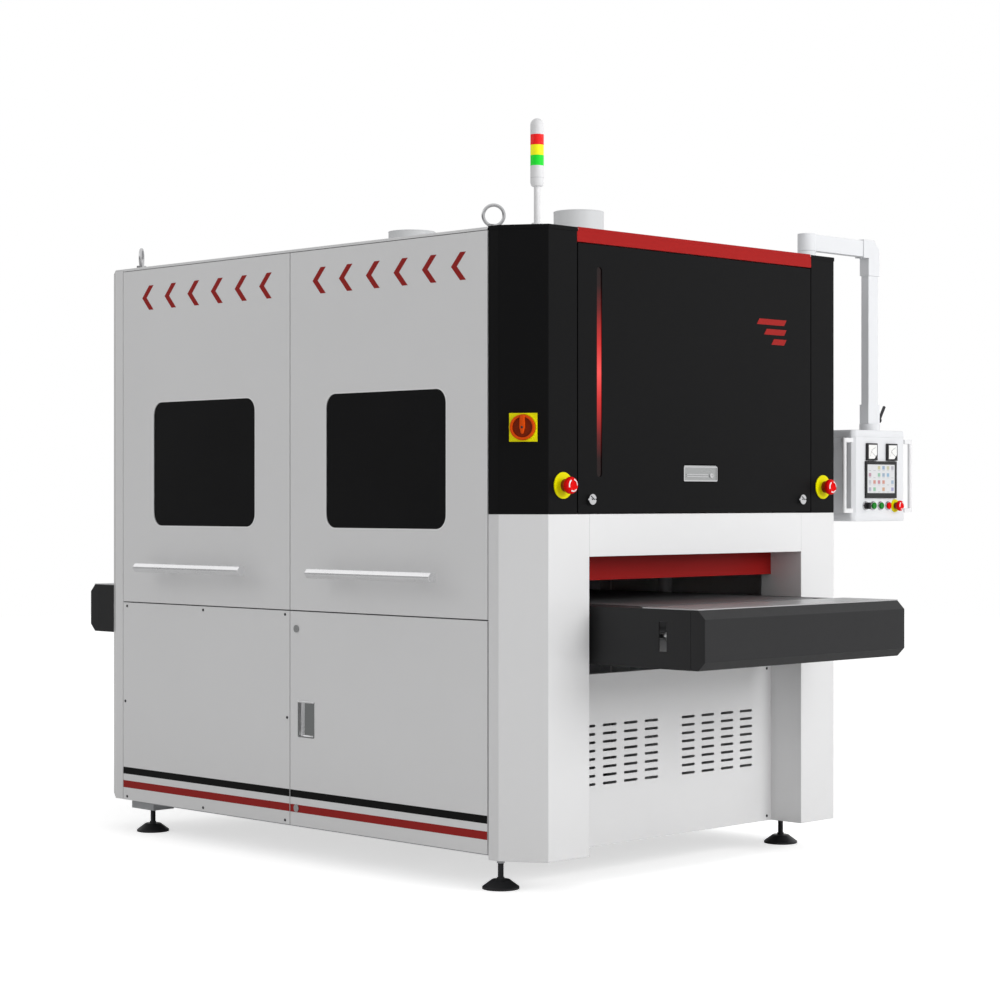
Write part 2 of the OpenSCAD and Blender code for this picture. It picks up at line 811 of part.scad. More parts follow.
module gearmotor() color("#5b6670") placed() translate([body_w - table_x, drive_y, roller_z]) difference() {
    union() {
        translate([0, -gearbox_half, -gearbox_half]) cube([gearbox_w, 2 * gearbox_half, 2 * gearbox_half]);
        translate([gearbox_w / 2 + motor_out, gearbox_half, 0]) rod_y(motor_r, motor_l);
    }
    translate([-cut, 0, 0]) rod_x(shaft_r + run_fit, gearbox_w / 2 + 2 * cut);
}

// Work head
module crosshead() color("#9aa0a6") placed() difference() {
    union() {
        translate([column_x - plate_margin, column_y - plate_margin, plate_z])
            cube([body_w - 2 * (column_x - plate_margin), body_d - 2 * (column_y - plate_margin), plate_t]);
        both_ends() both_sides() {
            translate([column_x, column_y, plate_z - guide_drop]) cylinder(r = guide_r, h = guide_h);
            translate([hanger_x, mid_y - press_y - hanger_half, head_low + hanger_low - cut])
                cube([hanger_t, 2 * hanger_half, plate_z - head_low - hanger_low + 2 * cut]);
        }
        translate([body_w / 2, mid_y, housing_low]) cylinder(r = housing_r, h = housing_h);
    }
    both_ends() both_sides() {
        translate([column_x, column_y, plate_z - guide_drop - cut])
            cylinder(r = column_r + run_fit, h = guide_h + 2 * cut);
        translate([hanger_x - cut, mid_y - press_y, head_low + press_r])
            rod_x(press_shaft_r + run_fit, hanger_t + 2 * cut);
    }
    translate([body_w / 2, mid_y, housing_low - cut]) cylinder(r = spindle_r + run_fit,
        h = housing_h + 2 * cut);
}
module head_motor() color("#5b6670") placed()
    translate([body_w / 2, mid_y, housing_low + housing_h]) cylinder(r = head_motor_r, h = head_motor_h);
module carousel() color("#80858a") placed() translate([body_w / 2, mid_y, carousel_low]) {
    cylinder(r = carousel_r, h = carousel_t);
    cylinder(r = spindle_r, h = housing_low + housing_h - carousel_low - air);
}
module brush_disc() {
    difference() {
        cylinder(r = brush_r, h = brush_h);
        translate([0, 0, -cut]) cylinder(r = brush_r * brush_bore_share, h = brush_h / 2 + cut);
        for (i = [0 : brush_slots - 1]) rotate([0, 0, i * 360 / brush_slots])
            translate([brush_r / 2, -brush_r * brush_slot_share / 2, -cut])
                cube([brush_r, brush_r * brush_slot_share, brush_h * brush_cut_share + cut]);
    }
    cylinder(r = brush_stub_r, h = brush_h + brush_stub_h);
}
module brush_discs() color("#a4703a") placed() for (i = [0 : brush_n - 1])
    translate([body_w / 2, mid_y, head_low]) rotate([0, 0, 45 + i * 360 / brush_n])
        translate([brush_ring, 0, 0]) brush_disc();
module press_roller(y) translate([0, y, head_low + press_r]) {
    translate([press_x, 0, 0]) rod_x(press_r, body_w - 2 * press_x);
    translate([hanger_x, 0, 0]) rod_x(press_shaft_r, body_w - 2 * hanger_x);
}
module front_press_roller() color("#2c2c2e") placed() press_roller(mid_y - press_y);
module rear_press_roller() color("#2c2c2e") placed() press_roller(mid_y + press_y);

// Signal tower
lens_z = pole_h + tower_base_h;
module tower_stand() color("whitesmoke") placed() translate([tower_x, tower_y, body_h]) {
    cylinder(r = tower_flange_r, h = tower_flange_h);
    cylinder(r = pole_r, h = lens_z);
    translate([0, 0, pole_h]) cylinder(r = lens_r, h = tower_base_h);
    translate([0, 0, lens_z]) cylinder(r = core_r, h = 3 * lens_h);
    translate([0, 0, lens_z + 3 * lens_h]) {
        cylinder(r = lens_r, h = dome_h - lens_r);
        translate([0, 0, dome_h - lens_r]) sphere(lens_r);
    }
}
module tower_lenses() placed() for (i = [0 : 2])
    color(["limegreen", "gold", "red"][i]) translate([tower_x, tower_y, body_h + lens_z + i * lens_h])
        difference() {
        cylinder(r = lens_r, h = lens_h - air);
        translate([0, 0, -cut]) cylinder(r = core_r, h = lens_h + 2 * cut);
    }

// Emergency stops and mains switch; the local Y runs into the machine
module stop_collar() difference() {
    union() {
        translate([0, -stop_collar_t, 0]) rod_y(stop_collar_r, stop_collar_t);
        translate([0, -stop_neck_h, 0]) rod_y(stop_neck_r, stop_neck_h);
    }
    translate([0, -stop_neck_h - cut, 0]) rod_y(stop_stem_r + run_fit, stop_neck_h + 2 * cut);
}
module stop_cap() {
    translate([0, -stop_neck_h - stop_travel - cut / 2 - stop_cap_h, 0]) {
        rod_y(stop_cap_r, stop_cap_h);
        rod_y(stop_stem_r, stop_cap_h + stop_neck_h);
    }
}
module mains_frame() difference() {
    union() {
        translate([-mains_w / 2, -mains_t, -mains_w / 2]) cube([mains_w, mains_t, mains_w]);
        translate([0, -mains_ring_h, 0]) rod_y(mains_ring_r, mains_ring_h);
    }
    translate([0, -mains_ring_h - cut, 0]) rod_y(mains_knob_r + cut, mains_ring_h - mains_t + cut);
    translate([0, -mains_ring_h, 0]) rod_y(mains_pin_r + run_fit, mains_ring_h - cut);
}
mains_front = mains_ring_h + mains_knob_h;
module mains_knob() color("orangered") placed() on_chamfer(mains_z) {
    difference() {
        translate([0, -mains_front, 0]) rod_y(mains_knob_r, mains_front - mains_t - air);
        translate([0, -mains_front - cut, 0]) rod_y(mains_dish_r, mains_dish_d + cut);
    }
    translate([-mains_bar_w / 2, -mains_front - mains_bar_h, -mains_bar_down])
        cube([mains_bar_w, mains_bar_h + mains_dish_d + cut, mains_bar_down + mains_bar_up]);
    translate([0, -mains_ring_h, 0]) rod_y(mains_pin_r, mains_ring_h - 2 * cut);
}
module switch_collars() color("yellow") placed() {
    both_sides() translate([stop_x, 0, stop_z]) stop_collar();
    on_chamfer(mains_z) mains_frame();
}
module left_stop_cap() color("red") placed() translate([stop_x, 0, stop_z]) stop_cap();
module right_stop_cap() color("red") placed() translate([body_w - stop_x, 0, stop_z]) stop_cap();

// Front door with its light slot, knobs and latch
led_z = (led_low + led_high) / 2;
module at_led() translate([led_x, 0, led_z]) children();
module at_latch() translate([body_w / 2, 0, latch_z]) children();
module front_door() color("#1d1d1f") placed() difference() {
    union() {
        translate([front_door_x, 0, front_door_z]) hinged_door(front_door_w, front_door_h);
        at_latch() difference() {
            translate([-latch_w / 2 - sheet, sheet / 2, -latch_h / 2 - sheet])
                cube([latch_w + 2 * sheet, pan_d - sheet / 2, latch_h + 2 * sheet]);
            translate([-latch_w / 2, 0, -latch_h / 2]) cube([latch_w, pan_d - sheet, latch_h]);
        }
    }
    at_led() translate([0, -cut, 0]) upright(sheet + 2 * cut) rounded(led_w, led_high - led_low,
        led_w / 2 - air);
    at_latch() {
        translate([-latch_w / 2, -cut, -latch_h / 2]) cube([latch_w, sheet + 2 * cut, latch_h]);
        translate([-latch_w / 2 - sheet - cut, paddle_axis_y, paddle_axis_z])
            rod_x(paddle_pin_r + run_fit, latch_w + 2 * (sheet + cut));
    }
    for (x = [knob_x, body_w - knob_x]) translate([x, -cut, knob_z]) rod_y(knob_stem_r + run_fit,
        sheet + 2 * cut);
}
module led_strip() color("#e03a3a") placed() at_led() translate([0, sheet, 0])
    upright(led_t) rounded(led_w + 2 * led_lap, led_high - led_low + 2 * led_lap, led_w / 2);
paddle_axis_y = paddle_t;
paddle_axis_z = latch_h / 2 - paddle_air - paddle_t;
module latch_paddle() color("silver") placed() at_latch() {
    translate([paddle_air - latch_w / 2, 0, paddle_air - latch_h / 2])
        cube([latch_w - 2 * paddle_air, paddle_t, latch_h - 2 * paddle_air - paddle_t]);
    translate([paddle_air - latch_w / 2, paddle_axis_y, paddle_axis_z]) rod_x(paddle_t,
        latch_w - 2 * paddle_air);
    translate([-latch_w / 2 - sheet, paddle_axis_y, paddle_axis_z]) rod_x(paddle_pin_r, latch_w + 2 * sheet);
}
module door_knob() {
    difference() {
        translate([0, -knob_head_h - air, 0]) rod_y(knob_r, knob_head_h);
        translate([-knob_r, -knob_head_h - air - cut, -knob_slot_w / 2]) cube([2 * knob_r,
            knob_slot_h + cut, knob_slot_w]);
    }
    translate([0, -air - cut, 0]) rod_y(knob_stem_r, knob_stem_l + air + cut);
    translate([-tongue_w / 2, knob_stem_l - tongue_t, -tongue_w / 2]) cube([tongue_w, tongue_t, tongue_l]);
}
module left_door_knob() color("silver") placed() translate([knob_x, 0, knob_z]) door_knob();
module right_door_knob() color("silver") placed() translate([body_w - knob_x, 0, knob_z]) door_knob();

// Upper side doors with window, pane and handle
module at_window() translate([bay_w / 2, 0, window_z + window_h / 2 - upper_low]) children();
module upper_door(i) on_left(bay_y(i), bay_w, upper_low) difference() {
    hinged_door(bay_w, upper_h);
    at_window() translate([0, -cut, 0]) upright(sheet + 2 * cut) rounded(window_w, window_h, window_r);
}
pane_lap = 15;
module window_pane(i) on_left(bay_y(i), bay_w, upper_low) at_window() translate([0, sheet, 0])
    upright(pane_t) rounded(window_w + 2 * pane_lap, window_h + 2 * pane_lap, window_r);
bar_back = handle_d - handle_reach;
bar_taper_share = 0.7;
bar_nose_h = 8;
standoff_h = 21;
module door_handle(i) on_left(bay_y(i), bay_w, handle_z) {
    translate([(bay_w - handle_l) / 2, 0, 0]) across(handle_l) polygon([
        [bar_back, -handle_h / 2], [bar_back, handle_h / 2], [bar_back - handle_d * bar_taper_share,
            handle_h / 2],
        [-handle_reach, bar_nose_h / 2], [-handle_reach, -bar_nose_h / 2],
        [bar_back - handle_d * bar_taper_share, -handle_h / 2]
    ]);
    for (s = [-1, 1]) translate([bay_w / 2 + s * handle_span / 2 - standoff_w / 2, bar_back - cut,
        -standoff_h / 2])
        cube([standoff_w, cut - bar_back, standoff_h]);
}
module left_front_door() color("gainsboro") placed() upper_door(0);
module left_rear_door() color("gainsboro") placed() upper_door(1);
module left_front_window() color("#101012") placed() window_pane(0);
module left_rear_window() color("#101012") placed() window_pane(1);
module left_front_handle() color("silver") placed() door_handle(0);
module left_rear_handle() color("silver") placed() door_handle(1);

// Service door, hinged at its front edge, with a recessed pull and two quarter-turn locks
lock_zs = [lock_margin, lower_h - lock_margin];
module at_pull() on_left(bay_y(0), bay_w, 0) translate([pull_y, 0, pull_z]) children();
module service_door() color("gainsboro") placed() difference() {
    union() {
        service_frame() hinged_door(lower_h, bay_w);
        at_pull() translate([-pull_w / 2 - sheet, sheet / 2, -pull_h / 2 - sheet])
            cube([pull_w + 2 * sheet, pull_d, pull_h + 2 * sheet]);
    }
    at_pull() translate([-pull_w / 2, -cut, -pull_h / 2]) cube([pull_w, pull_d + cut - sheet, pull_h]);
    for (z = lock_zs) at_lock(z) translate([0, -cut, 0]) rod_y(lock_r + run_fit, sheet + 2 * cut);
}
module at_lock(z) on_left(bay_y(0), bay_w, panel_low) translate([lock_in, 0, z]) children();
module cam_lock(z) at_lock(z) {
    difference() {
        translate([0, -lock_head_h - air, 0]) rod_y(lock_head_r, lock_head_h);
        translate([-lock_r / 2, -lock_head_h - air - cut, -lock_slot_w / 2])
            cube([lock_r, lock_slot_d + cut, lock_slot_w]);
    }
    translate([0, -air - cut, 0]) rod_y(lock_r, lock_l + air + cut);
    translate([-lock_tongue_w / 2, lock_l - lock_tongue_t, -lock_tongue_l])
        cube([lock_tongue_w, lock_tongue_t, lock_tongue_l]);
}
module upper_lock() color("silver") placed() cam_lock(lock_zs[1]);
module lower_lock() color("silver") placed() cam_lock(lock_zs[0]);

// Control pendant: a swivel base, an arm with an elbow, and a box that swivels under the arm
arm_z = arm_mid_z - arm_w / 2;
base_top = arm_z - base_gap;
module pendant_base() color("whitesmoke") placed() translate([base_x, pend_y, body_h]) {
    cylinder(r = base_r, h = base_top - body_h);
    cylinder(r = swivel_r, h = base_top - body_h + swivel_h);
}
module pendant_arm() color("whitesmoke") placed() difference() {
    union() {
        translate([base_x, pend_y, base_top + air]) cylinder(r = base_r, h = arm_w + base_gap - air);
        translate([base_x, pend_y - arm_d / 2, arm_z]) cube([arm_reach, arm_d, arm_w]);
        translate([pend_x - arm_w / 2, pend_y - arm_d / 2, sleeve_low]) cube([arm_w, arm_d,
            arm_z - sleeve_low]);
        translate([pend_x, pend_y, 0]) rotate([90, 0, 0]) translate([0, 0, -arm_d / 2 - elbow_x])
            linear_extrude(arm_d + 2 * elbow_x) polygon([
                [-arm_w / 2 - elbow_x, arm_z - elbow_drop], [arm_w / 2 + elbow_x, arm_z - elbow_drop],
                [arm_w / 2 + elbow_x, arm_mid_z], [0, arm_z + arm_w + elbow_x],
                [-arm_w - elbow_x, arm_z + arm_w + elbow_x], [-arm_w - elbow_x, arm_z - elbow_x],
                [-arm_w / 2 - elbow_x, arm_z - elbow_x]
            ]);
        translate([pend_x - sleeve_w / 2, pend_y - sleeve_d / 2, sleeve_low]) cube([sleeve_w, sleeve_d,
            sleeve_h]);
    }
    translate([base_x, pend_y, base_top]) cylinder(r = swivel_r + run_fit, h = swivel_h + air);
    translate([pend_x, pend_y, sleeve_low - cut]) cylinder(r = box_pivot_r + run_fit,
        h = box_pivot_h + cut + air);
    translate([pend_x + sleeve_w / 2 - lever_stud_l, pend_y + lever_y, sleeve_low + lever_z])
        rod_x(lever_stud_r + run_fit, lever_stud_l + cut);
}
module clamp_lever() color("#3c3c40") placed()
    translate([pend_x + sleeve_w / 2, pend_y + lever_y, sleeve_low + lever_z]) {
        translate([cut - lever_stud_l, 0, 0]) rod_x(lever_stud_r, lever_stud_l + lever_t);
        translate([air, 0, 0]) rod_x(lever_hub_r, lever_t);
        translate([air, -lever_t / 2, 0]) rotate([0, lever_lean, 0]) cube([lever_t, lever_t, lever_l]);
    }
module box_plan() {
    hw = box_w / 2;
    polygon([
        [-hw, box_edge_d], [box_edge - hw, 0], [hw - box_edge, 0], [hw, box_edge_d],
        [hw, box_d - box_edge], [hw - box_edge, box_d], [box_edge - hw, box_d], [-hw, box_d - box_edge]
    ]);
}
module on_panel(x, drop) translate([pend_x + x, box_front, box_top - drop]) children();
button_xs = [for (i = [0 : 3]) button_first + i * button_step];
stop_button_x = button_first + len(button_xs) * button_step;
module control_box() color("whitesmoke") placed() difference() {
    union() {
        translate([pend_x, box_front, box_low]) linear_extrude(box_h) box_plan();
        translate([pend_x, pend_y, box_top - cut]) cylinder(r = box_collar_r,
            h = sleeve_low - box_top + cut - air);
        translate([pend_x, pend_y, box_top - cut]) cylinder(r = box_pivot_r,
            h = sleeve_low - box_top + cut + box_pivot_h - air);
    }
    for (x = button_xs) on_panel(x, button_drop) translate([0, -cut, 0]) rod_y(button_r + run_fit,
        button_hole_d + cut);
}
module box_handles() color("whitesmoke") placed() for (s = [-1, 1])
    translate([pend_x + s * box_w / 2, box_front + grip_y, box_low + grip_inset]) {
        translate([s * (grip_reach - grip_r), 0, 0]) cylinder(r = grip_r, h = box_h - 2 * grip_inset);
        for (z = [0, box_h - 2 * grip_inset - 2 * grip_r])
            translate([s > 0 ? 0 : grip_r - grip_reach, -grip_r, z])
                cube([grip_reach - grip_r, 3 * grip_r, 2 * grip_r]);
    }
module panel_fittings() color("#202022") placed() {
    for (s = [-1, 1]) on_panel(meter_shift + s * meter_x, meter_drop)
        translate([-meter_w / 2, -meter_t, -meter_h / 2]) cube([meter_w, meter_t, meter_h]);
    on_panel(0, screen_drop) translate([-screen_w / 2, -screen_t, -screen_h / 2])
        cube([screen_w, screen_t, screen_h]);
    on_panel(stop_button_x, button_drop) stop_collar_small();
}
module stop_collar_small() difference() {
    union() {
        translate([0, -stop_collar_t, 0]) rod_y(small_collar_r, stop_collar_t);
        translate([0, -small_neck_h, 0]) rod_y(small_neck_r, small_neck_h);
    }
    translate([0, -small_neck_h - cut, 0]) rod_y(small_stem_r + run_fit, small_neck_h + 2 * cut);
}
module push_button(x) on_panel(x, button_drop) {
    translate([0, -button_h, 0]) rod_y(button_r, button_h + button_hole_d - button_travel - cut);
}
module selector_knob() color("#202022") placed() on_panel(button_xs[0], button_drop) {
    translate([0, -button_h, 0]) rod_y(button_r, button_h + button_hole_d - cut);
    translate([-selector_bar_w / 2, -2 * button_h, -button_r])
        cube([selector_bar_w, button_h + cut, 2 * button_r]);
}
module start_button() color("green") placed() push_button(button_xs[1]);
module reset_button() color("green") placed() push_button(button_xs[2]);
module stop_button() color("red") placed() push_button(button_xs[3]);
module pendant_stop_cap() color("red") placed() on_panel(stop_button_x, button_drop)
    translate([0, -small_neck_h - small_travel - cut / 2 - small_cap_h, 0]) {
        rod_y(small_cap_r, small_cap_h);
        rod_y(small_stem_r, small_cap_h + small_neck_h);
    }

base_rails();
base_crossbars();
levelling_feet();
front_legs();
lintels();
front_pillars();
rear_posts();
end_panels();
side_panels();
panel_screws();
inner_frame();
roof_panel();
exhaust_spigots();
lifting_eyes();
red_bars();
table_beams();
table_noses();
table_bed();
conveyor_belt();
drive_roller();
idler_roller();
belt_tensioners();
gearmotor();
crosshead();
head_motor();
carousel();
brush_discs();
front_press_roller();
rear_press_roller();
tower_stand();
tower_lenses();
switch_collars();
mains_knob();
left_stop_cap();
right_stop_cap();
front_door();
led_strip();
latch_paddle();
left_door_knob();
right_door_knob();
left_front_door();
left_front_window();
left_front_handle();
left_rear_door();
left_rear_window();
left_rear_handle();
service_door();
upper_lock();
lower_lock();
pendant_base();
pendant_arm();
clamp_lever();
control_box();
box_handles();
panel_fittings();
selector_knob();
start_button();
reset_button();
stop_button();
pendant_stop_cap();
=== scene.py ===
import json
import math
import bmesh
import bpy
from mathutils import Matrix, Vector


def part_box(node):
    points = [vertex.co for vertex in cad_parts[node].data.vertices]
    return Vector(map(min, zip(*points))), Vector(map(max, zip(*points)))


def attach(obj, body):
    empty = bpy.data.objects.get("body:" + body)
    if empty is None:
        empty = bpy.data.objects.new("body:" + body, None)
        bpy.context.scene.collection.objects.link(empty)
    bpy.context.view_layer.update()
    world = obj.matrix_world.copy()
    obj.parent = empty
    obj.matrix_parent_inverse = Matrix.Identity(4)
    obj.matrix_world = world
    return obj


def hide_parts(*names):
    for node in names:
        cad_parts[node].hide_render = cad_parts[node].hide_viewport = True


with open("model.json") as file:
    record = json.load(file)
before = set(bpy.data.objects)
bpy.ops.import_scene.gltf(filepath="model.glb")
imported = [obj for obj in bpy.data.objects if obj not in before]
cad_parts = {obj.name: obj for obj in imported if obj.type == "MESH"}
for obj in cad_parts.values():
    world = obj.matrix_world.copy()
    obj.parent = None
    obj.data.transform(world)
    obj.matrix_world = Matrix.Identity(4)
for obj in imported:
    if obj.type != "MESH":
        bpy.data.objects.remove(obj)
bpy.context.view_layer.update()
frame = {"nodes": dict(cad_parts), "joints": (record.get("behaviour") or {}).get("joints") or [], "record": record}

mm = 0.001
nodes = frame["nodes"]


# Camera, at the photograph's place and angle
cameraSet = {"place": (-6.2283, -6.2699, 1.245), "turn": -44.854, "lens": 84.68, "sensor": 36}


def setCamera(s):
    data = bpy.data.cameras.new("photoCamera")
    data.lens = s["lens"]
    data.sensor_width = s["sensor"]
    data.clip_end = 100
    made = bpy.data.objects.new("photoCamera", data)
    made.location = s["place"]
    made.rotation_euler = (math.radians(90), 0, math.radians(s["turn"]))
    bpy.context.scene.collection.objects.link(made)
    bpy.context.scene.camera = made


setCamera(cameraSet)
bpy.context.scene.view_settings.view_transform = "Standard"
print("camera set")


# Shader sums: a Wire is one socket, and Python sums on it add the nodes
class Wire:
    def __init__(self, tree, socket):
        self.tree, self.socket = tree, socket

    def node(self, kind, settings=None, inputs=None, out=0):
        made = self.tree.nodes.new("ShaderNode" + kind)
        for name, value in (settings or {}).items():
            if name == "stops":
                stops = made.color_ramp.elements
                while len(stops) < len(value):
                    stops.new(1)
                for stop, (place, colour) in zip(stops, value):
                    stop.position, stop.color = place, (*colour, 1)
            else:
                setattr(made, name, value)
        for name, value in (inputs or {}).items():
            if isinstance(value, Wire):
                self.tree.links.new(value.socket, made.inputs[name])
            else:
                made.inputs[name].default_value = value
        return Wire(self.tree, made.outputs[out])

    def sum(self, operation, first, second=0.0, clamp=False):
        return self.node("Math", {"operation": operation, "use_clamp": clamp}, {0: first, 1: second})

    def __add__(self, other):
        return self.sum("ADD", self, other)

    def __sub__(self, other):
        return self.sum("SUBTRACT", self, other)

    def __mul__(self, other):
        return self.sum("MULTIPLY", self, other)

    def __truediv__(self, other):
        return self.sum("DIVIDE", self, other)

    def __mod__(self, other):
        return self.sum("FLOORED_MODULO", self, other)

    def __rsub__(self, other):
        return self.sum("SUBTRACT", other, self)

    def __abs__(self):
        return self.sum("ABSOLUTE", self)

    __radd__, __rmul__ = __add__, __mul__

    def over(self, edge, soft):
        return self.node("MapRange", {"interpolation_type": "SMOOTHSTEP"},
                         {"Value": self, "From Min": edge - soft, "From Max": edge + soft})

    def within(self, low, high, soft):
        return self.over(low, soft) * (1 - self.over(high, soft))

    def mix(self, low, high):
        return self.node("Mix", {"data_type": "RGBA"}, {0: self, 6: shade(low), 7: shade(high)}, 2)

    def axes(self):
        split = self.node("SeparateXYZ", None, {0: self})
        rest = split.socket.node.outputs
        return split, Wire(self.tree, rest[1]), Wire(self.tree, rest[2])

    def noise(self, scale, detail=2, stretch=(1, 1, 1)):
        place = self.node("Mapping", None, {"Vector": self, "Scale": stretch})
        return place.node("TexNoise", None, {"Vector": place, "Scale": scale, "Detail": detail})

    def bump(self, height, strength, depth):
        return self.node("Bump", None, {"Height": height, "Strength": strength, "Distance": depth})


def shade(colour):
    return colour if isinstance(colour, Wire) else (*colour, 1)


def toned(colour, down, up):
    return [tuple(min(1, c * share) for c in colour) for share in (down, up)]


def startFinish(name, constants):
    made = bpy.data.materials.new(name)
    made.use_nodes = True
    shader = made.node_tree.nodes["Principled BSDF"]
    for socket, value in constants.items():
        shader.inputs[socket].default_value = value
    place = Wire(made.node_tree, made.node_tree.nodes.new("ShaderNodeTexCoord").outputs["Object"])
    return made, shader, place


def feed(shader, links):
    for socket, wire in links.items():
        wire.tree.links.new(wire.socket, shader.inputs[socket])


# Powder coat: a fine orange peel, slow shifts of tone and a little dust near the floor
def powderCoat(name, s):
    made, shader, place = startFinish(name, {"Specular IOR Level": s.get("gloss", 0.5), "Metallic": 0,
                                             "Coat Roughness": 0.08})
    shader.inputs["Coat Weight"].default_value = s.get("coat", 0)
    height = place.axes()[2]
    cloud = place.noise(2.3, 3)
    speck = place.noise(900, 2)
    dust = (1 - height.over(0.28, 0.24)) * place.noise(9, 4) * s.get("dust", 0.1)
    shift = s.get("shift", 0.03)
    tone = (cloud * 0.7 + speck * 0.3).mix(*toned(s["colour"], 1 - shift, 1 + shift))
    feed(shader, {
        "Base Color": dust.mix(tone, (0.42, 0.4, 0.37)),
        "Roughness": place.noise(35, 3) * 0.1 + s["rough"] + dust * 0.4,
        "Normal": place.bump(place.noise(s.get("peel", 420), 2), s.get("relief", 0.12), 0.0003),
    })
    return made


# Brushed or turned metal: streaks along one direction, with faint smudges
def brushedMetal(name, s):
    made, shader, place = startFinish(name, {"Metallic": 1})
    streak = place.noise(60, 3, s.get("stretch", (1, 30, 30)))
    smudge = place.noise(7, 4)
    feed(shader, {
        "Base Color": (streak * 0.6 + smudge * 0.4).mix(*toned(s["colour"], 0.82, 1.12)),
        "Roughness": streak * 0.16 + smudge * 0.1 + (s["rough"] - 0.12),
        "Normal": place.bump(streak, s.get("relief", 0.06), 0.0002),
    })
    return made


# Moulded plastic: fine grain, softly uneven gloss
def mouldedPlastic(name, s):
    made, shader, place = startFinish(name, {
        "Specular IOR Level": s.get("gloss", 0.5), "Coat Roughness": 0.12, "Metallic": 0})
    shader.inputs["Coat Weight"].default_value = s.get("coat", 0)
    grain = place.noise(s.get("grain", 700), 2)
    cloud = place.noise(11, 3)
    feed(shader, {
        "Base Color": (cloud * 0.6 + grain * 0.4).mix(*toned(s["colour"], 0.93, 1.05)),
        "Roughness": cloud * 0.08 + grain * 0.05 + s["rough"],
        "Normal": place.bump(grain, s.get("relief", 0.08), 0.0002),
    })
    return made


finishTable = {
    powderCoat: {
        "lightPaint": {"colour": (0.8, 0.8, 0.805), "rough": 0.3, "coat": 0.5},
        "blackPaint": {"colour": (0.0068, 0.0068, 0.0072), "rough": 0.36, "gloss": 0.06, "dust": 0,
                       "shift": 0.15, "relief": 0.08},
        "redPaint": {"colour": (0.37, 0.014, 0.013), "rough": 0.36, "gloss": 0.08, "dust": 0, "shift": 0.06},
        "tablePaint": {"colour": (0.027, 0.027, 0.028), "rough": 0.42, "gloss": 0.14, "dust": 0.02,
                       "shift": 0.12},
        "framePaint": {"colour": (0.5, 0.51, 0.53), "rough": 0.5, "shift": 0.06},
        "motorPaint": {"colour": (0.10, 0.14, 0.18), "rough": 0.36, "shift": 0.1, "peel": 260},
        "footPaint": {"colour": (0.018, 0.018, 0.02), "rough": 0.4, "gloss": 0.4, "dust": 0, "shift": 0.15,
                      "peel": 300},
        "pendantPaint": {"colour": (0.78, 0.79, 0.81), "rough": 0.25, "dust": 0, "gloss": 0.35,
                         "shift": 0.015, "relief": 0.05},
        "spigotPaint": {"colour": (0.72, 0.73, 0.74), "rough": 0.28, "dust": 0, "relief": 0.05},
    },
    brushedMetal: {
        "bareSteel": {"colour": (0.62, 0.62, 0.63), "rough": 0.3},
        "turnedSteel": {"colour": (0.7, 0.7, 0.71), "rough": 0.22, "stretch": (40, 1, 1)},
        "darkSteel": {"colour": (0.06, 0.06, 0.065), "rough": 0.36},
        "eyeSteel": {"colour": (0.55, 0.55, 0.56), "rough": 0.2, "relief": 0.02},
        "zinc": {"colour": (0.44, 0.45, 0.45), "rough": 0.28, "relief": 0.03},
        "chrome": {"colour": (0.62, 0.62, 0.63), "rough": 0.14, "relief": 0.01},
        "handleMetal": {"colour": (0.86, 0.86, 0.87), "rough": 0.28, "stretch": (30, 1, 30), "relief": 0.03},
        "pullSteel": {"colour": (0.27, 0.28, 0.28), "rough": 0.34},
    },
    mouldedPlastic: {
        "whitePlastic": {"colour": (0.84, 0.84, 0.85), "rough": 0.22},
        "yellowPlastic": {"colour": (0.86, 0.82, 0.0), "rough": 0.34, "gloss": 0.12},
        "orangePlastic": {"colour": (0.74, 0.075, 0.001), "rough": 0.34, "gloss": 0.12},
        "redPlastic": {"colour": (0.78, 0.001, 0.001), "rough": 0.34, "gloss": 0.1},
        "greenPlastic": {"colour": (0.01, 0.22, 0.02), "rough": 0.3, "gloss": 0.15},
        "blackPlastic": {"colour": (0.015, 0.015, 0.016), "rough": 0.34, "gloss": 0.35},
        "sealRubber": {"colour": (0.62, 0.63, 0.64), "rough": 0.45},
        "blackVinyl": {"colour": (0.007, 0.007, 0.007), "rough": 0.35, "gloss": 0.06},
        "redVinyl": {"colour": (0.34, 0.02, 0.018), "rough": 0.35, "gloss": 0.08},
        "rollerRubber": {"colour": (0.02, 0.02, 0.021), "rough": 0.6, "gloss": 0.3, "grain": 300},
        "rimPlastic": {"colour": (0.88, 0.88, 0.88), "rough": 0.35},
        "darkRedPlastic": {"colour": (0.25, 0.001, 0.001), "rough": 0.35},
        # Darker copy of the orange plastic: painted shade for the hollow dish of the mains switch
        "orangeCup": {"colour": (0.22, 0.02, 0.001), "rough": 0.4, "gloss": 0.12},
        "dialWhite": {"colour": (0.9, 0.9, 0.88), "rough": 0.3},
    },
}
finishes = {name: maker(name, s) for maker, group in finishTable.items() for name, s in group.items()}


# Belt: a fabric-backed rubber belt, polished by use, with a fine cross weave
def beltFinish():
    made, shader, place = startFinish("beltRubber", {"Specular IOR Level": 0.5})
    x, y, z = place.axes()
    weave = (x * 2400).sum("SINE", x * 2400) * (y * 2400).sum("SINE", y * 2400)
    worn = place.noise(5, 5, (1, 0.25, 1))
    feed(shader, {
        "Base Color": (worn * 0.7 + weave * 0.1).mix((0.09, 0.09, 0.093), (0.15, 0.15, 0.155)),
        "Roughness": worn * 0.18 + 0.34,
        "Normal": place.bump(weave, 0.06, 0.0003),
    })
    return made


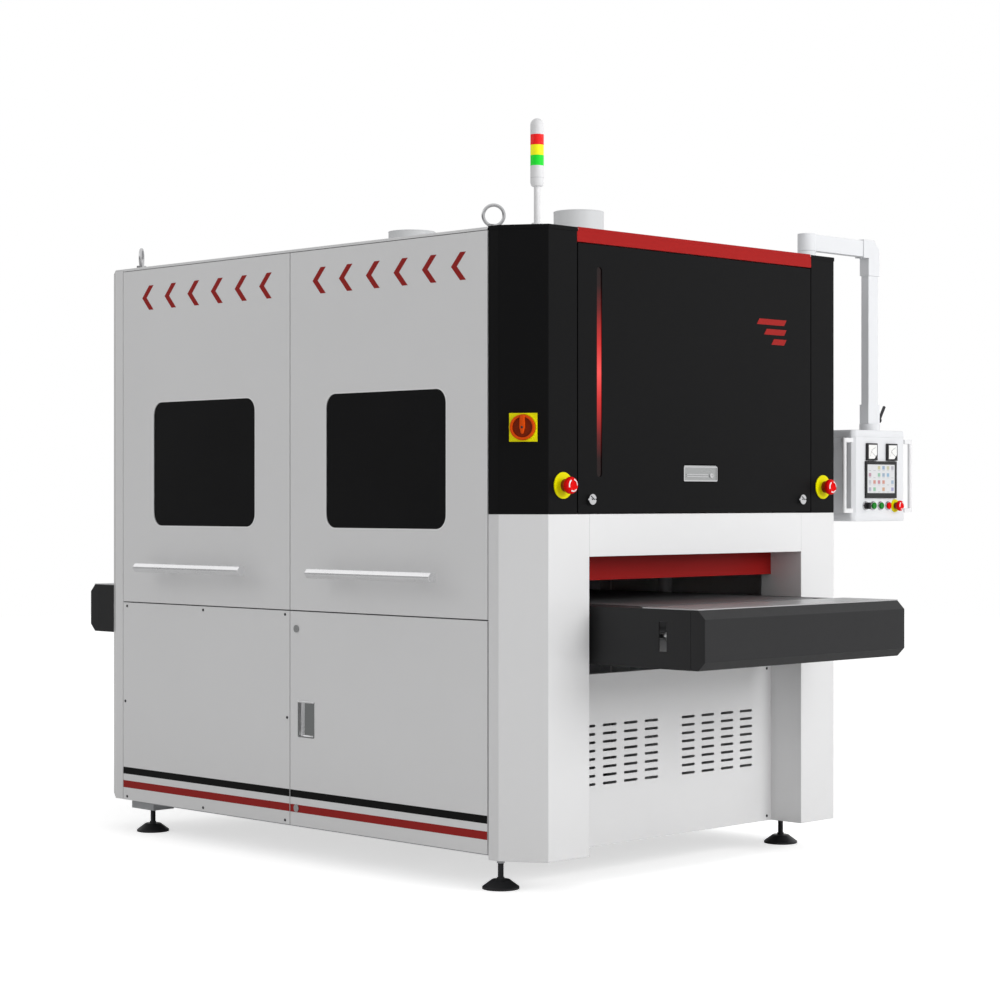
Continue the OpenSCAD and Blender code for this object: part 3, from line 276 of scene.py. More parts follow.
# Brush flaps: rough brown abrasive cloth in fine radial layers
def abrasiveFinish():
    made, shader, place = startFinish("abrasiveCloth", {"Specular IOR Level": 0.2})
    grit = place.noise(1400, 3)
    wear = place.noise(18, 4)
    feed(shader, {
        "Base Color": (grit * 0.5 + wear * 0.5).mix((0.16, 0.06, 0.025), (0.42, 0.2, 0.09)),
        "Roughness": grit * 0.2 + 0.7,
        "Normal": place.bump(grit, 0.5, 0.0006),
    })
    return made


# Tinted pane: nearly black and polished, the dim inside just showing
def paneFinish():
    made, shader, place = startFinish("tintedGlass", {"Specular IOR Level": 0.16, "IOR": 1.5})
    smear = place.noise(3.5, 4)
    feed(shader, {
        "Base Color": smear.mix((0.004, 0.004, 0.0045), (0.007, 0.007, 0.0075)),
        "Roughness": smear * 0.05 + 0.03,
        "Alpha": smear * 0.02 + 0.955,
    })
    return made


# Light strip: red, brightest at mid-height and fading out to both ends
def lightStripFinish():
    low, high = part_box("led_strip")
    made, shader, place = startFinish("lightStrip", {"Roughness": 0.25, "Emission Strength": 1,
                                                     "Specular IOR Level": 0.2})
    z = place.axes()[2]
    share = 1 - abs(z - (low.z + high.z) / 2) / ((high.z - low.z) / 2)
    glow = share.node("ValToRGB", {"stops": [
        (0.0, (0, 0, 0)), (0.2, (0.0015, 0.0001, 0.0001)), (0.42, (0.11, 0.006, 0.006)),
        (0.75, (0.6, 0.025, 0.024)), (1.0, (0.95, 0.09, 0.085))]}, {"Fac": share + place.noise(40) * 0.02})
    feed(shader, {"Emission Color": glow,
                  "Base Color": share.mix((0.006, 0.002, 0.002), (0.05, 0.004, 0.004))})
    return made


# Signal lenses: green, yellow and red clear plastic with a fine inner rib
def lensFinish():
    low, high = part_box("tower_lenses")
    made, shader, place = startFinish("signalLenses", {"Specular IOR Level": 0.5, "Emission Strength": 0.22})
    z = place.axes()[2]
    share = (z - low.z) / (high.z - low.z)
    lower = share.over(1 / 3, 0.002).mix((0.0, 0.68, 0.02), (0.88, 0.86, 0.0))
    colour = share.over(2 / 3, 0.002).mix(lower, (0.8, 0.0, 0.0))
    rib = (z * 2400).sum("SINE", z * 2400)
    feed(shader, {"Base Color": colour, "Emission Color": colour,
                  "Roughness": place.noise(20) * 0.06 + 0.12,
                  "Normal": place.bump(rib, 0.1, 0.0004)})
    return made


finishes["beltRubber"] = beltFinish()
finishes["abrasiveCloth"] = abrasiveFinish()
finishes["tintedGlass"] = paneFinish()
finishes["lightStrip"] = lightStripFinish()
finishes["signalLenses"] = lensFinish()
print("finishes made")

nodeFinishes = {
    "lightPaint": ["front_legs", "lintels", "rear_posts", "end_panels", "side_panels", "roof_panel",
                   "left_front_door", "left_rear_door", "service_door"],
    "blackPaint": ["front_pillars", "front_door"],
    "redPaint": ["red_bars"],
    "tablePaint": ["table_beams", "table_noses"],
    "framePaint": ["base_rails", "base_crossbars", "inner_frame", "crosshead"],
    "motorPaint": ["gearmotor", "head_motor"],
    "footPaint": ["levelling_feet"],
    "pendantPaint": ["pendant_base", "pendant_arm", "control_box"],
    "spigotPaint": ["exhaust_spigots"],
    "bareSteel": ["table_bed", "carousel"],
    "turnedSteel": ["drive_roller", "idler_roller"],
    "darkSteel": ["panel_screws", "clamp_lever"],
    "chrome": ["left_door_knob", "right_door_knob"],
    "zinc": ["latch_paddle", "upper_lock", "lower_lock", "belt_tensioners"],
    "eyeSteel": ["lifting_eyes"],
    "handleMetal": ["left_front_handle", "left_rear_handle"],
    "whitePlastic": ["tower_stand", "box_handles"],
    "yellowPlastic": ["switch_collars"],
    "orangePlastic": ["mains_knob"],
    "redPlastic": ["left_stop_cap", "right_stop_cap", "stop_button", "pendant_stop_cap"],
    "greenPlastic": ["start_button", "reset_button"],
    "blackPlastic": ["panel_fittings", "selector_knob"],
    "rollerRubber": ["front_press_roller", "rear_press_roller"],
    "beltRubber": ["conveyor_belt"],
    "abrasiveCloth": ["brush_discs"],
    "tintedGlass": ["left_front_window", "left_rear_window"],
    "lightStrip": ["led_strip"],
    "signalLenses": ["tower_lenses"],
}
finishOf = {node: finish for finish, group in nodeFinishes.items() for node in group}
slotOf = {part["node"]: part["material_slot"] for part in frame["record"]["subparts"]}
bodyOf = {node: body for body, group in frame["record"]["behaviour"]["bodies"].items() for node in group}
for node, made in nodes.items():
    if not made.material_slots:
        made.data.materials.append(None)
    for place in made.material_slots:
        place.link = "OBJECT"
        place.material = finishes[finishOf[node]]


# Modelling by hand: everything is deselected first, and faces or edges are picked by their place
def clear():
    if bpy.context.object and bpy.context.object.mode != "OBJECT":
        bpy.ops.object.mode_set(mode="OBJECT")
    bpy.ops.object.select_all(action="DESELECT")


def choose(made):
    clear()
    made.select_set(True)
    bpy.context.view_layer.objects.active = made


# The place, turn and size go into the mesh, and the object stays at the origin
def fixPlace(made):
    choose(made)
    bpy.ops.object.transform_apply(location=True, rotation=True, scale=True)
    return made


def block(name, low, high):
    clear()
    low, high = Vector(low), Vector(high)
    bpy.ops.mesh.primitive_cube_add(size=1, location=(low + high) / 2)
    made = bpy.context.object
    made.name = made.data.name = name
    made.scale = high - low
    return fixPlace(made)


def edit(made, kind):
    choose(made)
    bpy.ops.object.mode_set(mode="EDIT")
    bpy.ops.mesh.select_mode(type=kind)
    bpy.ops.mesh.select_all(action="DESELECT")


def pick(made, kind, test):
    mesh = bmesh.from_edit_mesh(made.data)
    group = {"FACE": mesh.faces, "EDGE": mesh.edges, "VERT": mesh.verts}[kind]
    for part in group:
        if test(part):
            part.select_set(True)
    mesh.select_flush_mode()
    bmesh.update_edit_mesh(made.data)


def pickAll():
    bpy.ops.mesh.select_all(action="SELECT")


def along(axis):
    def test(edge):
        way = edge.verts[1].co - edge.verts[0].co
        return abs(way[axis]) > 0.99 * way.length
    return test


def facing(axis, sign):
    return lambda face: face.normal[axis] * sign > 0.9


def modify(made, kind, settings):
    choose(made)
    step = made.modifiers.new(kind.lower(), kind)
    for name, value in settings.items():
        setattr(step, name, value)
    bpy.ops.object.modifier_apply(modifier=step.name)


def smooth(made, angle=35):
    choose(made)
    bpy.ops.object.shade_smooth_by_angle(angle=math.radians(angle))


# Rounded edges with a smooth shade
def soften(made, width, segments=2, angle=30):
    modify(made, "BEVEL", {"width": width, "segments": segments, "limit_method": "ANGLE",
                           "angle_limit": math.radians(angle), "use_clamp_overlap": True})
    smooth(made, angle + 10)
    modify(made, "WEIGHTED_NORMAL", {"keep_sharp": True, "weight": 80})


# Finish and body of a piece, and the node that it stands for, if any
def dress(made, finish, slot, body, *replaced):
    clear()
    made.data.materials.clear()
    made.data.materials.append(finishes[finish])
    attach(made, body)
    if replaced:
        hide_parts(*replaced)
    return made


def bareCopy(source, name):
    made = bpy.data.objects.new(name, source.data.copy())
    bpy.context.scene.collection.objects.link(made)
    return made


def copyOf(source, name, shift=(0, 0, 0)):
    made = bareCopy(source, name)
    made.location = shift
    return fixPlace(made)


def joined(name, parts):
    clear()
    for part in parts:
        part.select_set(True)
    bpy.context.view_layer.objects.active = parts[0]
    bpy.ops.object.join()
    made = bpy.context.object
    made.name = made.data.name = name
    return made


# A round piece is made along z, and then stands at its place along any axis
def stand(made, place, axis, sign):
    made.rotation_euler = {0: (0, math.radians(90 * sign), 0), 1: (math.radians(-90 * sign), 0, 0),
                           2: (0 if sign > 0 else math.pi, 0, 0)}[axis]
    made.location = place
    fixPlace(made)
    smooth(made, 40)
    return made


# A round piece made from a circle that is extruded and resized step by step
def turned(name, place, profile, axis=2, sides=48, sign=1):
    clear()
    radius, height = profile[0]
    bpy.ops.mesh.primitive_circle_add(vertices=sides, radius=radius, fill_type="NGON")
    made = bpy.context.object
    made.name = made.data.name = name
    bpy.ops.object.mode_set(mode="EDIT")
    pickAll()
    bpy.ops.transform.translate(value=(0, 0, height))
    for wide, high in profile[1:]:
        bpy.ops.mesh.extrude_region_move(TRANSFORM_OT_translate={"value": (0, 0, high - height)})
        if wide != radius:
            bpy.ops.transform.resize(value=(wide / radius, wide / radius, 1))
        radius, height = wide, high
    pickAll()
    bpy.ops.mesh.normals_make_consistent(inside=False)
    return stand(made, place, axis, sign)


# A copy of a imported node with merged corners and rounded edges, which stands for it
def rounded(node, width, segments=2, angle=30):
    made = bareCopy(nodes[node], node + "_finished")
    edit(made, "VERT")
    pickAll()
    bpy.ops.mesh.remove_doubles(threshold=0.00001)
    bpy.ops.mesh.dissolve_limited(angle_limit=math.radians(1))
    soften(made, width, segments, angle)
    return dress(made, finishOf[node], slotOf[node], bodyOf[node], node)


edgeWidths = {
    0.6: ["upper_lock", "lower_lock"],
    0.8: ["switch_collars"],
    1.0: ["front_door", "left_front_door", "left_rear_door", "service_door", "red_bars", "left_door_knob",
          "right_door_knob", "latch_paddle", "selector_knob", "clamp_lever"],
    1.2: ["lintels", "roof_panel", "table_beams", "levelling_feet", "panel_fittings"],
    1.5: ["left_front_handle", "left_rear_handle"],
    2.0: ["front_legs", "front_pillars", "rear_posts", "table_noses", "pendant_arm", "pendant_base",
          "crosshead", "base_rails"],
    2.5: ["control_box", "box_handles"],
    3.0: ["gearmotor"],
}
for width, group in edgeWidths.items():
    for node in group:
        rounded(node, width * mm)
print("edges rounded")


# A closed outline with its corners at the points, left in edit mode with all of it selected
def outline(name, points, fill="NOTHING"):
    clear()
    bpy.ops.mesh.primitive_circle_add(vertices=len(points), radius=1, fill_type=fill)
    made = bpy.context.object
    made.name = made.data.name = name
    for corner, point in zip(made.data.vertices, points):
        corner.co = point
    edit(made, "VERT")
    pickAll()
    return made


# A ring made by spinning a flat section about an axis through the place
def ringed(name, place, section, axis=2, sides=48, sign=1):
    made = outline(name, [(wide, 0, high) for wide, high in section])
    bpy.ops.mesh.spin(steps=sides, angle=math.radians(360), center=(0, 0, 0), axis=(0, 0, 1))
    pickAll()
    bpy.ops.mesh.remove_doubles(threshold=0.000005)
    bpy.ops.mesh.normals_make_consistent(inside=False)
    return stand(made, place, axis, sign)


# A flat frame with rounded corners, standing across one axis
def roundFrame(name, low, high, axis, corner, wide, edge):
    made = block(name, low, high)
    edit(made, "EDGE")
    pick(made, "EDGE", along(axis))
    bpy.ops.mesh.bevel(offset=corner, segments=8, affect="EDGES", clamp_overlap=True)
    bpy.ops.mesh.select_all(action="DESELECT")
    bpy.ops.mesh.select_mode(type="FACE")
    pick(made, "FACE", lambda face: abs(face.normal[axis]) > 0.9)
    bpy.ops.mesh.delete(type="ONLY_FACE")
    modify(made, "SOLIDIFY", {"thickness": wide, "offset": -1, "use_even_offset": True})
    soften(made, edge, 2, 40)
    return made


def roundPlate(name, low, high, axis, corner, edge):
    made = block(name, low, high)
    edit(made, "EDGE")
    pick(made, "EDGE", along(axis))
    bpy.ops.mesh.bevel(offset=corner, segments=6, affect="EDGES", clamp_overlap=True)
    soften(made, edge, 2, 40)
    return made


def middle(node):
    low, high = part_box(node)
    return (low + high) / 2


# Sizes of a piece, in millimetres, with its counts and angles
def lengths(sizes, **others):
    return {name: size * mm for name, size in sizes.items()} | others


# Light rims of the two side windows
rimSet = lengths({"lap": 10, "wide": 5, "proud": 1.2, "into": 2.5, "corner": 50, "edge": 0.5})


def windowRim(side, s):
    low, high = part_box("left_" + side + "_window")
    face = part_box("left_" + side + "_door")[0].x
    made = roundFrame(side + "WindowRim", (face - s["proud"], low.y + s["lap"], low.z + s["lap"]),
                      (face + s["into"], high.y - s["lap"], high.z - s["lap"]), 0,
                      s["corner"], s["wide"], s["edge"])
    return dress(made, "rimPlastic", "white_plastic", bodyOf["left_" + side + "_door"])


for side in ("front", "rear"):
    windowRim(side, rimSet)
print("window rims made")


# Red chevrons along the top of each side door, cut from vinyl, pointing to the rear
chevronSet = lengths({"tall": 90, "stroke": 27, "deep": 69, "thick": 0.6, "below": 105, "fromRear": 118.5,
                      "step": 137}, count=6)


def chevrons(side, s):
    low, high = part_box("left_" + side + "_door")
    half = s["tall"] / 2
    arm = block("chevronArm", (-s["thick"], -s["stroke"], -half), (0, 0, 0))
    edit(arm, "FACE")
    pick(arm, "FACE", facing(2, 1))
    bpy.ops.mesh.delete(type="ONLY_FACE")
    bpy.ops.mesh.select_mode(type="VERT")
    pick(arm, "VERT", lambda corner: corner.co.z < -half / 2)
    bpy.ops.transform.translate(value=(0, s["stroke"] - s["deep"], 0))
    modify(arm, "MIRROR", {"use_axis": (False, False, True), "use_clip": True, "merge_threshold": 0.00001})
    modify(arm, "BEVEL", {"width": 0.15 * mm, "segments": 1, "limit_method": "ANGLE"})
    level = high.z - s["below"]
    first = high.y - s["fromRear"]
    parts = [copyOf(arm, "chevron", (low.x, first - i * s["step"], level)) for i in range(s["count"])]
    bpy.data.objects.remove(arm)
    return dress(joined(side + "Chevrons", parts), "redVinyl", "red_paint", bodyOf["left_" + side + "_door"])


for side in ("front", "rear"):
    chevrons(side, chevronSet)

# Black and red stripes along the foot of the service door and of the panel behind it
stripeSet = {"thick": 0.5 * mm, "inset": 0.3 * mm, "lowest": 16.5 * mm,
             "bands": {"black": ("blackVinyl", "black_paint", 113.4 * mm, 138.6 * mm),
                       "red": ("redVinyl", "red_paint", 62.2 * mm, 88.6 * mm)}}


def stripes(s):
    low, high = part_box("service_door")
    rearLow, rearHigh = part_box("left_rear_door")
    floorLevel = low.z - s["lowest"]
    for colour, (finish, slot, bottom, top) in s["bands"].items():
        for part, (front, rear), body in (("serviceDoor", (low.y, high.y), "lower_door"),
                                          ("rearPanel", (rearLow.y, rearHigh.y), "machine")):
            made = block(colour + "StripeOn" + part[0].upper() + part[1:],
                         (low.x - s["thick"], front + s["inset"], floorLevel + bottom),
                         (low.x, rear - s["inset"], floorLevel + top))
            soften(made, 0.15 * mm, 1)
            dress(made, finish, slot, body)


stripes(stripeSet)
print("chevrons and stripes made")

# Emergency stops: a mushroom head in shares of its radius and depth, three white arcs on its shoulder as painted
# highlights, and a sleeve behind
stopShares = [(0.42, 0), (0.42, 0.47), (0.6, 0.49), (0.86, 0.52), (0.97, 0.57), (1.0, 0.63), (1.0, 0.79),
              (0.97, 0.87), (0.9, 0.95), (0.78, 1.01), (0.66, 1.035), (0.6, 1.05), (0.56, 1.035),
              (0.5, 1.005), (0.3, 0.99)]
highlightArcShares = [(0.6, 1.05), (0.66, 1.035), (0.76, 1.014)]
sleeveSet = {"large": (18.6 * mm, 20.6 * mm, 18 * mm, 35 * mm),
             "small": (11.4 * mm, 13 * mm, 12.5 * mm, 23 * mm), "fromRadius": 22 * mm,
             "arc": 80, "turns": (0, 120, 240), "arcHigh": 0.5 * mm}


def turnOf(face):
    centre = face.calc_center_median()
    return math.degrees(math.atan2(centre.z, centre.x))


def stopHead(node, body, s):
    low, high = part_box(node)
    radius = (high.x - low.x) / 2
    deep = high.y - low.y
    place = ((low.x + high.x) / 2, high.y, (low.z + high.z) / 2)
    made = turned(node + "_finished", place, [(r * radius, h * deep) for r, h in stopShares], 1, 48, -1)
    dress(made, "redPlastic", "red_plastic", body, node)
    inner, outer, near, far = s["large" if radius > s["fromRadius"] else "small"]
    sleeve = ringed(node + "Sleeve", (place[0], low.y, place[2]),
                    [(inner, -near), (outer, -near), (outer, -far), (inner, -far)], 1, 48, -1)
    dress(sleeve, "darkRedPlastic", "red_plastic", body)
    # White plastic arcs proud of the dome: painted highlights for the ring of shine on its shoulder
    highlightArcs = []
    for turn in s["turns"]:
        arc = ringed("stopHighlightArc", (0, 0, 0), [(r * radius, h * deep + s["arcHigh"]) for r, h in highlightArcShares] +
                     [(r * radius, h * deep - s["arcHigh"]) for r, h in reversed(highlightArcShares)], 1, 36, -1)
        edit(arc, "FACE")
        pick(arc, "FACE", lambda face: (turnOf(face) - turn) % 360 > s["arc"])
        bpy.ops.mesh.delete(type="FACE")
        arc.location = place
        highlightArcs.append(fixPlace(arc))
    return dress(joined(node + "Marks", highlightArcs), "whitePlastic", "white_plastic", body)


for node in ("left_stop_cap", "right_stop_cap", "pendant_stop_cap"):
    stopHead(node, bodyOf[node], sleeveSet)
print("emergency stops made")

# Mains switch on the chamfer: an orange ring round a dish in a darker orange, painted shade for its hollow, with a
# drop-shaped pointer and a pin
chamferX, chamferY = 88 * mm, 134.4 * mm
switchSet = lengths({"radius": 40, "dish": 32, "front": 22, "floor": 14, "back": 4.6, "up": 39, "down": 21,
                     "wide": 9, "high": 10.6, "pin": 4}, turn=-math.atan2(chamferY, chamferX),
                    headShare=(0.92, 1, 0.5), tailShare=(0.6, 1, 1))


def mainsSwitch(s):
    joint = next(j for j in frame["joints"] if j["name"] == "mains_turn")
    high, deep = s["front"] - s["back"], s["floor"] - s["back"]
    cup = turned("mains_knob_finished", (0, -s["back"], 0), [
        (s["radius"], 0), (s["radius"], high - 2 * mm), (s["radius"] - 1.5 * mm, high - 0.4 * mm),
        (s["radius"] - 4 * mm, high), (s["dish"] + 0.8 * mm, high - 1 * mm), (s["dish"], high - 3 * mm),
        (s["dish"], deep), (s["dish"] / 3, deep)], 1, 64, -1)
    # The dish takes the darker orange: painted shade in the cup's hollow
    dish = turned("mainsShadedDish", (0, -s["floor"], 0), [
        (s["dish"] - 0.3 * mm, -0.6 * mm), (s["dish"] - 0.3 * mm, 0.3 * mm), (s["dish"] / 2, 0.6 * mm)],
        1, 64, -1)
    pointer = turned("mainsPointer", (0, -s["floor"], 0), [
        (s["wide"], 0), (s["wide"], s["high"] - 2.6 * mm), (s["wide"] - 1.5 * mm, s["high"] - 0.6 * mm),
        (s["wide"] - 4 * mm, s["high"])], 1, 40, -1)
    edit(pointer, "VERT")
    pick(pointer, "VERT", lambda corner: corner.co.z > 1 * mm)
    bpy.ops.transform.resize(value=s["headShare"], center_override=(0, 0, 0))
    bpy.ops.transform.translate(value=(0, 0, s["up"] - s["wide"] * s["headShare"][2]))
    bpy.ops.mesh.select_all(action="DESELECT")
    pick(pointer, "VERT", lambda corner: corner.co.z < -1 * mm)
    bpy.ops.transform.resize(value=s["tailShare"], center_override=(0, 0, 0))
    bpy.ops.transform.translate(value=(0, 0, s["wide"] - s["down"]))
    pin = turned("mainsPin", (0, -s["floor"] - s["high"], 0), [
        (s["pin"], -3 * mm), (s["pin"], 0.4 * mm), (s["pin"] - 1 * mm, 0.8 * mm)], 1, 24, -1)
    for made, finish in ((cup, "orangePlastic"), (dish, "orangeCup"), (pointer, "orangePlastic"),
                         (pin, "darkSteel")):
        made.rotation_euler = (0, 0, s["turn"])
        made.location = joint["pos_m"]
        dress(fixPlace(made), finish, "dark_steel" if made == pin else "orange_plastic", "mains_handle")
    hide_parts("mains_knob")


mainsSwitch(switchSet)
print("mains switch made")

# Screws: button heads with a socket, one beside each packed screw
screwSet = lengths({"head": 5, "high": 2, "shank": 2.6, "socket": 1.7})


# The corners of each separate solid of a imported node
def islands(node):
    shape = bmesh.new()
    shape.from_mesh(nodes[node].data)
    bmesh.ops.remove_doubles(shape, verts=shape.verts, dist=0.00001)
    left, groups = set(shape.verts), []
    while left:
        queue, group = [left.pop()], []
        while queue:
            corner = queue.pop()
            group.append(corner.co.copy())
            for edge in corner.link_edges:
                other = edge.other_vert(corner)
                if other in left:
                    left.discard(other)
                    queue.append(other)
        groups.append(group)
    shape.free()
    return groups


def span(group):
    return [Vector([least(c[i] for c in group) for i in range(3)]) for least in (min, max)]


def panelScrews(s):
    models, parts = {}, []
    for group in islands("panel_screws"):
        low, high = span(group)
        size = high - low
        axis = 0 if size.x < size.y else 1
        centre = (low + high) / 2
        other = 1 - axis
        wide = [c[axis] for c in group if abs(c[other] - centre[other]) > 0.9 * s["head"]
                or abs(c.z - centre.z) > 0.9 * s["head"]]
        sign = 1 if sum(wide) / len(wide) > centre[axis] else -1
        place = centre.copy()
        place[axis] = (high if sign > 0 else low)[axis] - sign * s["high"]
        if (axis, sign) not in models:
            models[(axis, sign)] = turned("screwModel", (0, 0, 0), [
                (s["shank"], -s["high"]), (s["shank"], 0), (s["head"], 0), (s["head"], 0.8 * mm),
                (4.3 * mm, 1.7 * mm), (3 * mm, s["high"]), (s["socket"], s["high"]), (s["socket"], 0.7 * mm)],
                axis, 18, sign)
        parts.append(copyOf(models[(axis, sign)], "screw", place))
    for model in models.values():
        bpy.data.objects.remove(model)
    dress(joined("panel_screws_finished", parts), "darkSteel", "dark_steel", "machine", "panel_screws")


panelScrews(screwSet)
print("screws made")

# Threads of the levelling feet, above their locknuts
threadSet = lengths({"pad": 60, "core": 8.9, "crest": 9.6, "pitch": 2.5, "from": 38}, turns=17)


def footThreads(s):
    low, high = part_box("levelling_feet")
    profile = [(s["core"], s["from"])]
    for i in range(s["turns"]):
        start = s["from"] + i * s["pitch"]
        profile += [(s["crest"], start + s["pitch"] * 0.4), (s["crest"], start + s["pitch"] * 0.5),
                    (s["core"], start + s["pitch"] * 0.9)]
    model = turned("threadModel", (0, 0, 0), profile, 2, 24)
    parts = [copyOf(model, "thread", (x, y, 0)) for x in (low.x + s["pad"], high.x - s["pad"])
             for y in (low.y + s["pad"], high.y - s["pad"])]
    bpy.data.objects.remove(model)
    dress(joined("footThreads", parts), "darkSteel", "dark_steel", "machine")


footThreads(threadSet)

# Rolled rims of the exhaust spigots
spigotSet = lengths({"radius": 88.5, "wall": 2.5, "bead": 2.2, "step": 865})


def spigotRims(s):
    low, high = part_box("exhaust_spigots")
    centreX = (low.x + high.x) / 2
    flange = (high.x - low.x) / 2
    parts = []
    for y in (low.y + flange, low.y + flange + s["step"]):
        radius = s["radius"] - s["wall"] / 2
        section = [(radius + s["bead"] * math.cos(math.radians(a)), s["bead"] * math.sin(math.radians(a)))
                   for a in range(0, 360, 36)]
        parts.append(ringed("rim", (centreX, y, high.z - s["bead"]), section, 2, 64))
    dress(joined("spigotRims", parts), "spigotPaint", "spigot_steel", "machine")


spigotRims(spigotSet)

# Tower: a cone under the base and a groove round it
towerSet = lengths({"base": 139, "radius": 21.5, "pole": 10.3, "cone": 11, "groove": 17})


def towerDetail(s):
    low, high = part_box("tower_stand")
    centre = (low + high) / 2
    level = low.z + s["base"]
    bore = s["pole"] + 0.2 * mm
    cone = ringed("towerCone", (centre.x, centre.y, level), [
        (bore, -s["cone"]), (s["pole"] + 4 * mm, -s["cone"]), (s["radius"] - 2.5 * mm, -s["cone"] * 0.7),
        (s["radius"] - 0.6 * mm, 0), (bore, 0)])
    inner, outer, half = s["radius"] - 0.5 * mm, s["radius"] + 0.15 * mm, 0.8 * mm
    groove = ringed("towerGroove", (centre.x, centre.y, level + s["groove"]),
                    [(inner, -half), (outer, -half), (outer, half), (inner, half)])
    dress(cone, "whitePlastic", "white_plastic", "machine")
    dress(groove, "sealRubber", "white_plastic", "machine")


towerDetail(towerSet)
print("threads and spigot rims made")

# Latch: a frame round the paddle, two grip lines and a small lock
latchSet = lengths({"frame": 4, "proud": 1.4, "corner": 4, "line": 1.6, "lineDown": 8, "lock": 9,
                    "lockRight": 56})


def latchDetail(s):
    low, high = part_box("latch_paddle")
    centre = (low + high) / 2
    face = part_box("front_door")[0].y
    halfWide = (high.x - low.x) / 2
    ring = roundFrame("latchFrame", (low.x + 0.3 * mm, face - s["proud"], low.z + 0.3 * mm),
                      (high.x - 0.3 * mm, face + 0.5 * mm, high.z - 4.5 * mm), 1,
                      s["corner"], s["frame"], 0.6 * mm)
    dress(ring, "chrome", "zinc", "latch")
    lines = [roundPlate("latchGrip", (low.x + 14 * mm, low.y - 2.2 * mm, level - s["line"]),
                        (centre.x + halfWide * 0.42, low.y + 0.5 * mm, level + s["line"]), 1,
                        1.2 * mm, 0.4 * mm)
             for level in (centre.z - s["lineDown"] + 3.6 * mm, centre.z - s["lineDown"] - 3.6 * mm)]
    line = joined("latchGrip", lines)
    lock = turned("latchLock", (centre.x + s["lockRight"], low.y, centre.z - s["lineDown"]), [
        (s["lock"], -0.5 * mm), (s["lock"], 2 * mm), (s["lock"] - 1 * mm, 3 * mm), (3 * mm, 3 * mm),
        (3 * mm, 1.6 * mm)], 1, 32, -1)
    dress(line, "chrome", "zinc", "latch")
    dress(lock, "chrome", "zinc", "latch")


latchDetail(latchSet)


# A dark steel plate across each quarter-turn knob of the front door, a little proud of its face: painted shade for
# its driver slot
slotSet = lengths({"long": 22, "wide": 3.5, "proud": 0.3}, lean=35)


def knobSlots(s):
    for node in ("left_door_knob", "right_door_knob"):
        low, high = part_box(node)
        slot = roundPlate(node + "Slot", (-s["long"] / 2, -s["proud"], -s["wide"] / 2),
                          (s["long"] / 2, 1 * mm, s["wide"] / 2), 1, 1.5 * mm, 0.1 * mm)
        slot.rotation_euler = (0, math.radians(s["lean"]), 0)
        slot.location = ((low.x + high.x) / 2, low.y, (low.z + high.z) / 2)
        # The dark steel is painted shade for the recessed slot, not the knob's own metal
        dress(fixPlace(slot), "darkSteel", "dark_steel", bodyOf[node])


knobSlots(slotSet)


# Recessed pull of the service door: a cup with a thin frame, a brow over it in a brighter metal than the frame as
# painted highlight on its top edge, and a grey lip
pullSet = lengths({"wide": 82, "high": 122, "deep": 15, "frame": 4, "proud": 1.6, "skin": 0.8, "brow": 7,
                   "browOut": 6, "lipShort": 34, "fromRear": 84.5, "level": 368.5, "corner": 5})


def doorPull(s):
    low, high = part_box("service_door")
    face, midY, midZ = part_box("left_front_door")[0].x, high.y - s["fromRear"], low.z + s["level"]
    halfY, halfZ, into = s["wide"] / 2, s["high"] / 2, face + 0.5 * mm
    outY, outZ = halfY + s["frame"] / 2, halfZ + s["frame"] / 2
    ring = roundFrame("pullFrame", (face - s["proud"], midY - outY, midZ - outZ),
                      (into, midY + outY, midZ + outZ), 0, s["corner"], s["frame"], 0.6 * mm)
    cup = block("pullCup", (face, midY - halfY, midZ - halfZ), (face + s["deep"], midY + halfY, midZ + halfZ))
    edit(cup, "FACE")
    pick(cup, "FACE", facing(0, -1))
    bpy.ops.mesh.delete(type="FACE")
    bpy.ops.mesh.select_mode(type="EDGE")
    pick(cup, "EDGE", lambda edge: all(c.co.x > face + s["deep"] / 2 for c in edge.verts))
    bpy.ops.mesh.bevel(offset=5 * mm, segments=3, affect="EDGES")
    modify(cup, "SOLIDIFY", {"thickness": s["skin"], "offset": -1})
    smooth(cup, 40)
    # The brow is brighter metal than the frame: painted highlight on the pull's top edge, whose shine is then
    # rendered
    brow = roundPlate("pullBrowHighlight", (face - s["browOut"], midY - outY, midZ + outZ - s["brow"]),
                      (into, midY + outY, midZ + outZ), 0, 2 * mm, 3.4 * mm)
    lip = roundPlate("pullLip", (face - 0.6 * mm, midY - halfY + 1 * mm, midZ - halfZ + 8 * mm),
                     (face + 1.2 * mm, midY + halfY - s["lipShort"], midZ + halfZ - 4 * mm), 0, 3 * mm,
                     0.5 * mm)
    for made, finish, slot in ((ring, "pullSteel", "zinc"), (brow, "handleMetal", "zinc"),
                               (cup, "handleMetal", "bare_steel"), (lip, "pullSteel", "bare_steel")):
        dress(made, finish, slot, "lower_door")


doorPull(pullSet)


# Places on the control box, whose top lies a set height over its handles
boxLow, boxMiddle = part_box("control_box")[0], middle("control_box")
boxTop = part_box("box_handles")[1].z + 30 * mm


# Meters: a white dial with a cut corner, a scale of ticks and a needle
meterSet = lengths({"inset": 6, "plate": 1.2, "cut": 16, "tickLong": 4, "tickWide": 0.9, "shift": 4,
                    "apart": 62, "drop": 79, "wide": 62, "high": 63, "case": 10, "reach": 29, "needle": 32},
                    ticks=11, sweep=80, reading=148)


